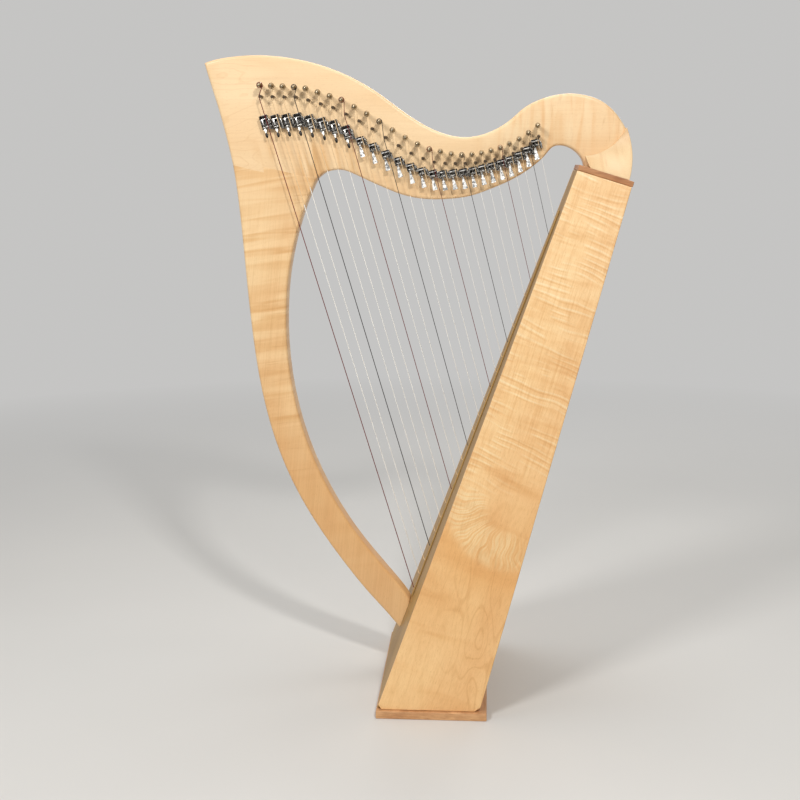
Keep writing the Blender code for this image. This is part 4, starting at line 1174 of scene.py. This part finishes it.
def screw_mesh():
    """Pan head with a cross slot."""
    floor = NECK_NEAR - BODY_BASE_THICK - LEVER_AXIS_Y
    r, high = SCREW_RADIUS, SCREW_HEIGHT
    profile = [(0.35 * r, floor - high), (0.75 * r, floor - 0.88 * high),
               (0.96 * r, floor - 0.5 * high), (r, floor - 0.1 * high), (r, floor + 0.0004)]
    head = show("screw", turned_y("screw", profile, 24), None)
    for size in (SLOT_SIZE, SLOT_SIZE[::-1]):
        bm = bmesh.new()
        bmesh.ops.create_cube(bm, size=1.0)
        bmesh.ops.scale(bm, vec=size, verts=bm.verts)
        bmesh.ops.translate(bm, vec=(0.0, floor - high, 0.0), verts=bm.verts)
        cut(head, show("slot", to_mesh("slot", bm), None, 0.0))
    return mesh_from(head)


def plate_mesh(outline, near, far, rim=0.0002):
    """Plate over an XZ outline in the lever's frame, its edges rounded."""
    item = slab("plate", [Vector(p) for p in outline], near, far, None)
    return mesh_from(round_edges(item, rim, 2))


def rail_mesh(height, radius):
    """Bright rod across the front of a lever body."""
    left, right = BODY_LEFT - 0.0003, BODY_RIGHT + 0.0003
    mesh = turned_x("rail", [(0.8 * radius, left), (radius, left + 0.0002),
                             (radius, right - 0.0002), (0.8 * radius, right)], 20)
    mesh.transform(Matrix.Translation((0.0, RAIL_Y, height)))
    return mesh


def body_parts(large):
    """Meshes and materials of one lever body, in the lever's frame."""
    top = LARGE_BODY_TOP if large else SMALL_BODY_TOP
    rail = LARGE_RAIL_HEIGHT if large else SMALL_RAIL_HEIGHT
    back = NECK_NEAR - LEVER_AXIS_Y
    floor = back - BODY_BASE_THICK
    left, right = BODY_LEFT + BODY_WALL, BODY_RIGHT - BODY_WALL
    liner = [(left, -BODY_BOTTOM + 0.0002), (right, -BODY_BOTTOM + 0.0002),
             (right, rail + 0.0010), (left, rail + 0.0010)]
    start, reach, bracket_top = BODY_RIGHT - 0.0002, BODY_RIGHT + BRACKET_REACH, rail - 0.0012
    bracket = [(start, -BODY_BOTTOM - 0.0020), (reach, -0.0055), (reach, bracket_top - 0.0020),
               (reach - 0.0010, bracket_top), (start, bracket_top)]
    parts = [(tray_mesh(top), M_TRAY), (plate_mesh(liner, floor - 0.0003, floor + 0.0002), M_TRAY),
             (screw_mesh(), M_STEEL), (plate_mesh(bracket, -0.0006, back), M_TRAY)]
    if large:
        # Painted shade: a dark wedge across the top of a large body stands for shadow and dark
        # reflection there.
        wedge = [(BODY_LEFT + 0.0002, 0.0122), (start, 0.0128), (start, top),
                 (0.5 * BODY_RIGHT, top), (BODY_LEFT + 0.0002, 0.0138)]
        spring = [(HANDLE_MIDDLE - 0.0012, 0.0026), (HANDLE_MIDDLE + 0.0012, 0.0026),
                  (HANDLE_MIDDLE + 0.0009, rail), (HANDLE_MIDDLE - 0.0009, rail)]
        parts += [(plate_mesh(wedge, -0.0027, 0.0010, 0.0004), M_DARK),
                  (rail_mesh(rail, 0.0008), M_CHROME),
                  (plate_mesh(spring, -0.0029, -0.0022, 0.00015), M_PADDLE)]
    else:
        # Painted shade: a thin dark strip across the top of a small body, for the same shadow and
        # dark reflection.
        painted_shade_strip = [(BODY_LEFT + 0.0014, 0.0068), (BODY_RIGHT - 0.0014, 0.0068),
               (BODY_RIGHT - 0.0014, top), (BODY_LEFT + 0.0014, top)]
        parts += [(plate_mesh(painted_shade_strip, -0.0027, 0.0010), M_DARK), (rail_mesh(rail, 0.0010), M_PADDLE)]
    return parts


def build_lever_bodies(places):
    kinds = {large: body_parts(large) for large in (True, False)}
    r = RIVET_RADIUS
    rivet = turned_x("rivet", [(0.7 * r, BODY_LEFT - 0.0002), (r, BODY_LEFT),
                               (r, BODY_RIGHT), (0.7 * r, BODY_RIGHT + 0.0002)], 16)
    middle = Matrix.Translation((0.5 * (BODY_LEFT + BODY_RIGHT), 0.0, SCREW_BACK))
    bodies = []
    for index, place in enumerate(places):
        matrix = lever_matrix(place)
        for mesh, material in kinds[index < LARGE_LEVER_COUNT]:
            spot = matrix @ middle if mesh.name.startswith("screw") else matrix
            bodies.append((mesh, spot, material))
        bodies.append((rivet, matrix, M_BRASS))
    joined(merge("lever_bodies", bodies, M_TRAY), "chrome")


def barrel_mesh():
    left = BODY_LEFT + BODY_WALL + GAP
    right = BODY_RIGHT - BODY_WALL - GAP
    r = BARREL_RADIUS
    return turned_x("barrel", [(0.86 * r, left), (r, left + 0.0003), (r, right - 0.0003),
                               (0.86 * r, right)], 24)


def lobe_mesh():
    right = BODY_RIGHT - BODY_WALL - GAP
    left = right - LOBE_WIDTH
    rest = Matrix.Rotation(LEVER_SWING, 4, "X")
    outline = [(0.0, -0.0011), (-0.6 * LOBE_REACH, -0.0010), (-LOBE_REACH + 0.0003, -0.0007),
               (-LOBE_REACH, -0.0003), (-LOBE_REACH, 0.0003), (-LOBE_REACH + 0.0003, 0.0007),
               (-0.6 * LOBE_REACH, 0.0010), (0.0, 0.0011)]
    return rings_mesh("lobe", [[rest @ Vector((x, y, z)) for y, z in outline]
                               for x in (left, right)])


def handle_mesh(stations, thick):
    """Flat handle through (distance, half width) stations, with rounded rims."""
    lean = Matrix.Rotation(-HANDLE_LEAN, 4, "X")
    half = 0.5 * thick
    rings = []
    for along, side in stations:
        rim = min(0.00035, 0.4 * side)
        flat = [(-side, -half + rim), (-side + rim, -half), (side - rim, -half),
                (side, -half + rim), (side, half - rim), (side - rim, half),
                (-side + rim, half), (-side, half - rim)]
        rings.append([lean @ Vector((HANDLE_MIDDLE + dx, dy, -along)) for dx, dy in flat])
    return rings_mesh("handle", rings)


def build_levers(places):
    barrel, lobe = barrel_mesh(), lobe_mesh()
    small_stations = [(0.0008, 0.0012), (0.0024, 0.0015), (0.0053, 0.0016), (0.0100, 0.0023),
                      (0.0150, 0.0030), (0.0180, 0.0035), (0.0189, 0.0035),
                      (SMALL_HANDLE_REACH, 0.0028)]
    large_stations = [(0.0008, 0.0013), (0.0026, 0.0017), (0.0042, 0.0020), (0.0054, 0.0018),
                      (0.0066, 0.0011), (0.0078, 0.0008)]
    small = handle_mesh(small_stations, HANDLE_THICK)
    large = handle_mesh(large_stations, HANDLE_THICK)
    knob = turned_y("knob", [(0.0004, -0.00105), (0.0014, -0.0009), (0.0020, -0.0004),
                             (0.0021, 0.0), (0.0020, 0.0004), (0.0014, 0.0009),
                             (0.0004, 0.00105)], 28)
    knob.transform(Matrix.Diagonal((1.0, 1.0, KNOB_STRETCH, 1.0)))
    knob_place = Matrix.Rotation(-HANDLE_LEAN, 4, "X") @ Matrix.Translation(
        (HANDLE_MIDDLE, 0.0, -LARGE_HANDLE_REACH + KNOB_BACK))
    root = handle_mesh([(0.0009, 0.0014), (0.0053, 0.0017)], ROOT_THICK)
    for index, place in enumerate(places):
        matrix = lever_matrix(place)
        parts = [(barrel, matrix, M_TRAY), (lobe, matrix, M_STEEL)]
        if index < LARGE_LEVER_COUNT:
            parts += [(large, matrix, None), (knob, matrix @ knob_place, M_DARK)]
        else:
            parts += [(small, matrix, None), (root, matrix, M_TRAY)]
        name = "lever_%02d" % (index + 1)
        lever = merge("lever_metal_%02d" % (index + 1), parts, M_PADDLE)
        joined(lever, "chrome", name, body=name)


# Floor, light and camera

def seen_rays(t):
    """Factor that is 1 for the rays of the camera, of mirrors and of glass."""
    path = t.add("ShaderNodeLightPath").outputs
    total = t.math("MAXIMUM", path["Is Camera Ray"], path["Is Glossy Ray"])
    return t.math("MAXIMUM", total, path["Is Transmission Ray"])


def floor_paint():
    """Pale floor that turns into the backdrop's colour far from the object."""
    t = Surface("floor_paint")
    t.out(t.ramp(t.noise(t.place, (3.0, 3.0, 3.0)),
                 ((0.3, shade(FLOOR_COLOR, 0.98)), (0.7, FLOOR_COLOR))), "Base Color")
    t.fix("Roughness", 0.9)
    far = t.add("ShaderNodeEmission", {"Color": BACKDROP_COLOR})
    distance = t.add("ShaderNodeVectorMath", {0: t.place}, operation="LENGTH").outputs["Value"]
    factor = t.times(t.spread(distance, *FLOOR_FADE), seen_rays(t))
    mix = t.add("ShaderNodeMixShader", {0: factor, 1: t.shader.outputs[0], 2: far.outputs[0]})
    t.links.new(mix.outputs[0], t.nodes["Material Output"].inputs["Surface"])
    return t.owner


def build_stage():
    mesh = bpy.data.meshes.new("floor")
    corners = [(x * FLOOR_HALF, y * FLOOR_HALF, 0.0)
               for x, y in ((-1, -1), (1, -1), (1, 1), (-1, 1))]
    mesh.from_pydata(corners, [], [(0, 1, 2, 3)])
    show("floor", mesh, floor_paint(), 0.0)
    world = bpy.data.worlds.new("studio")
    bpy.context.scene.world = world
    t = Tree(world)
    t.nodes.clear()
    lit = t.add("ShaderNodeBackground", {0: AMBIENT_COLOR, 1: AMBIENT_STRENGTH})
    seen = t.add("ShaderNodeBackground", {0: BACKDROP_COLOR, 1: 1.0})
    mix = t.add("ShaderNodeMixShader", {0: seen_rays(t), 1: lit.outputs[0], 2: seen.outputs[0]})
    t.add("ShaderNodeOutputWorld", {0: mix.outputs[0]})
    for name, (place, size, power, color) in LAMPS.items():
        light = bpy.data.lights.new(name, "AREA")
        light.shape = "SQUARE"
        light.size = size
        light.energy = power
        light.color = color
        item = linked(name, light)
        item.location = place
        item.rotation_euler = (LAMP_TARGET - Vector(place)).to_track_quat("-Z", "Y").to_euler()


def build_camera():
    data = bpy.data.cameras.new("camera")
    data.lens = CAMERA_LENS
    data.sensor_width = CAMERA_SENSOR
    item = linked("camera", data)
    item.matrix_world = (Matrix.Translation(CAMERA_PLACE) @ Matrix.Rotation(CAMERA_YAW, 4, "Z")
                         @ Matrix.Rotation(QUARTER_TURN - CAMERA_PITCH, 4, "X")
                         @ Matrix.Rotation(CAMERA_ROLL, 4, "Z"))
    bpy.context.scene.camera = item


def build_harp():
    places = [layout(index) for index in range(STRING_COUNT)]
    build_base()
    build_cap()
    build_case()
    build_board()
    build_neck_and_pillar()
    build_shoulder()
    build_strings(places)
    build_tuning_pins(places)
    build_bridge_pins(places)
    build_lever_bodies(places)
    build_levers(places)


build_camera()
build_stage()
build_harp()
bpy.context.scene.view_settings.view_transform = "Standard"
bpy.context.view_layer.update()
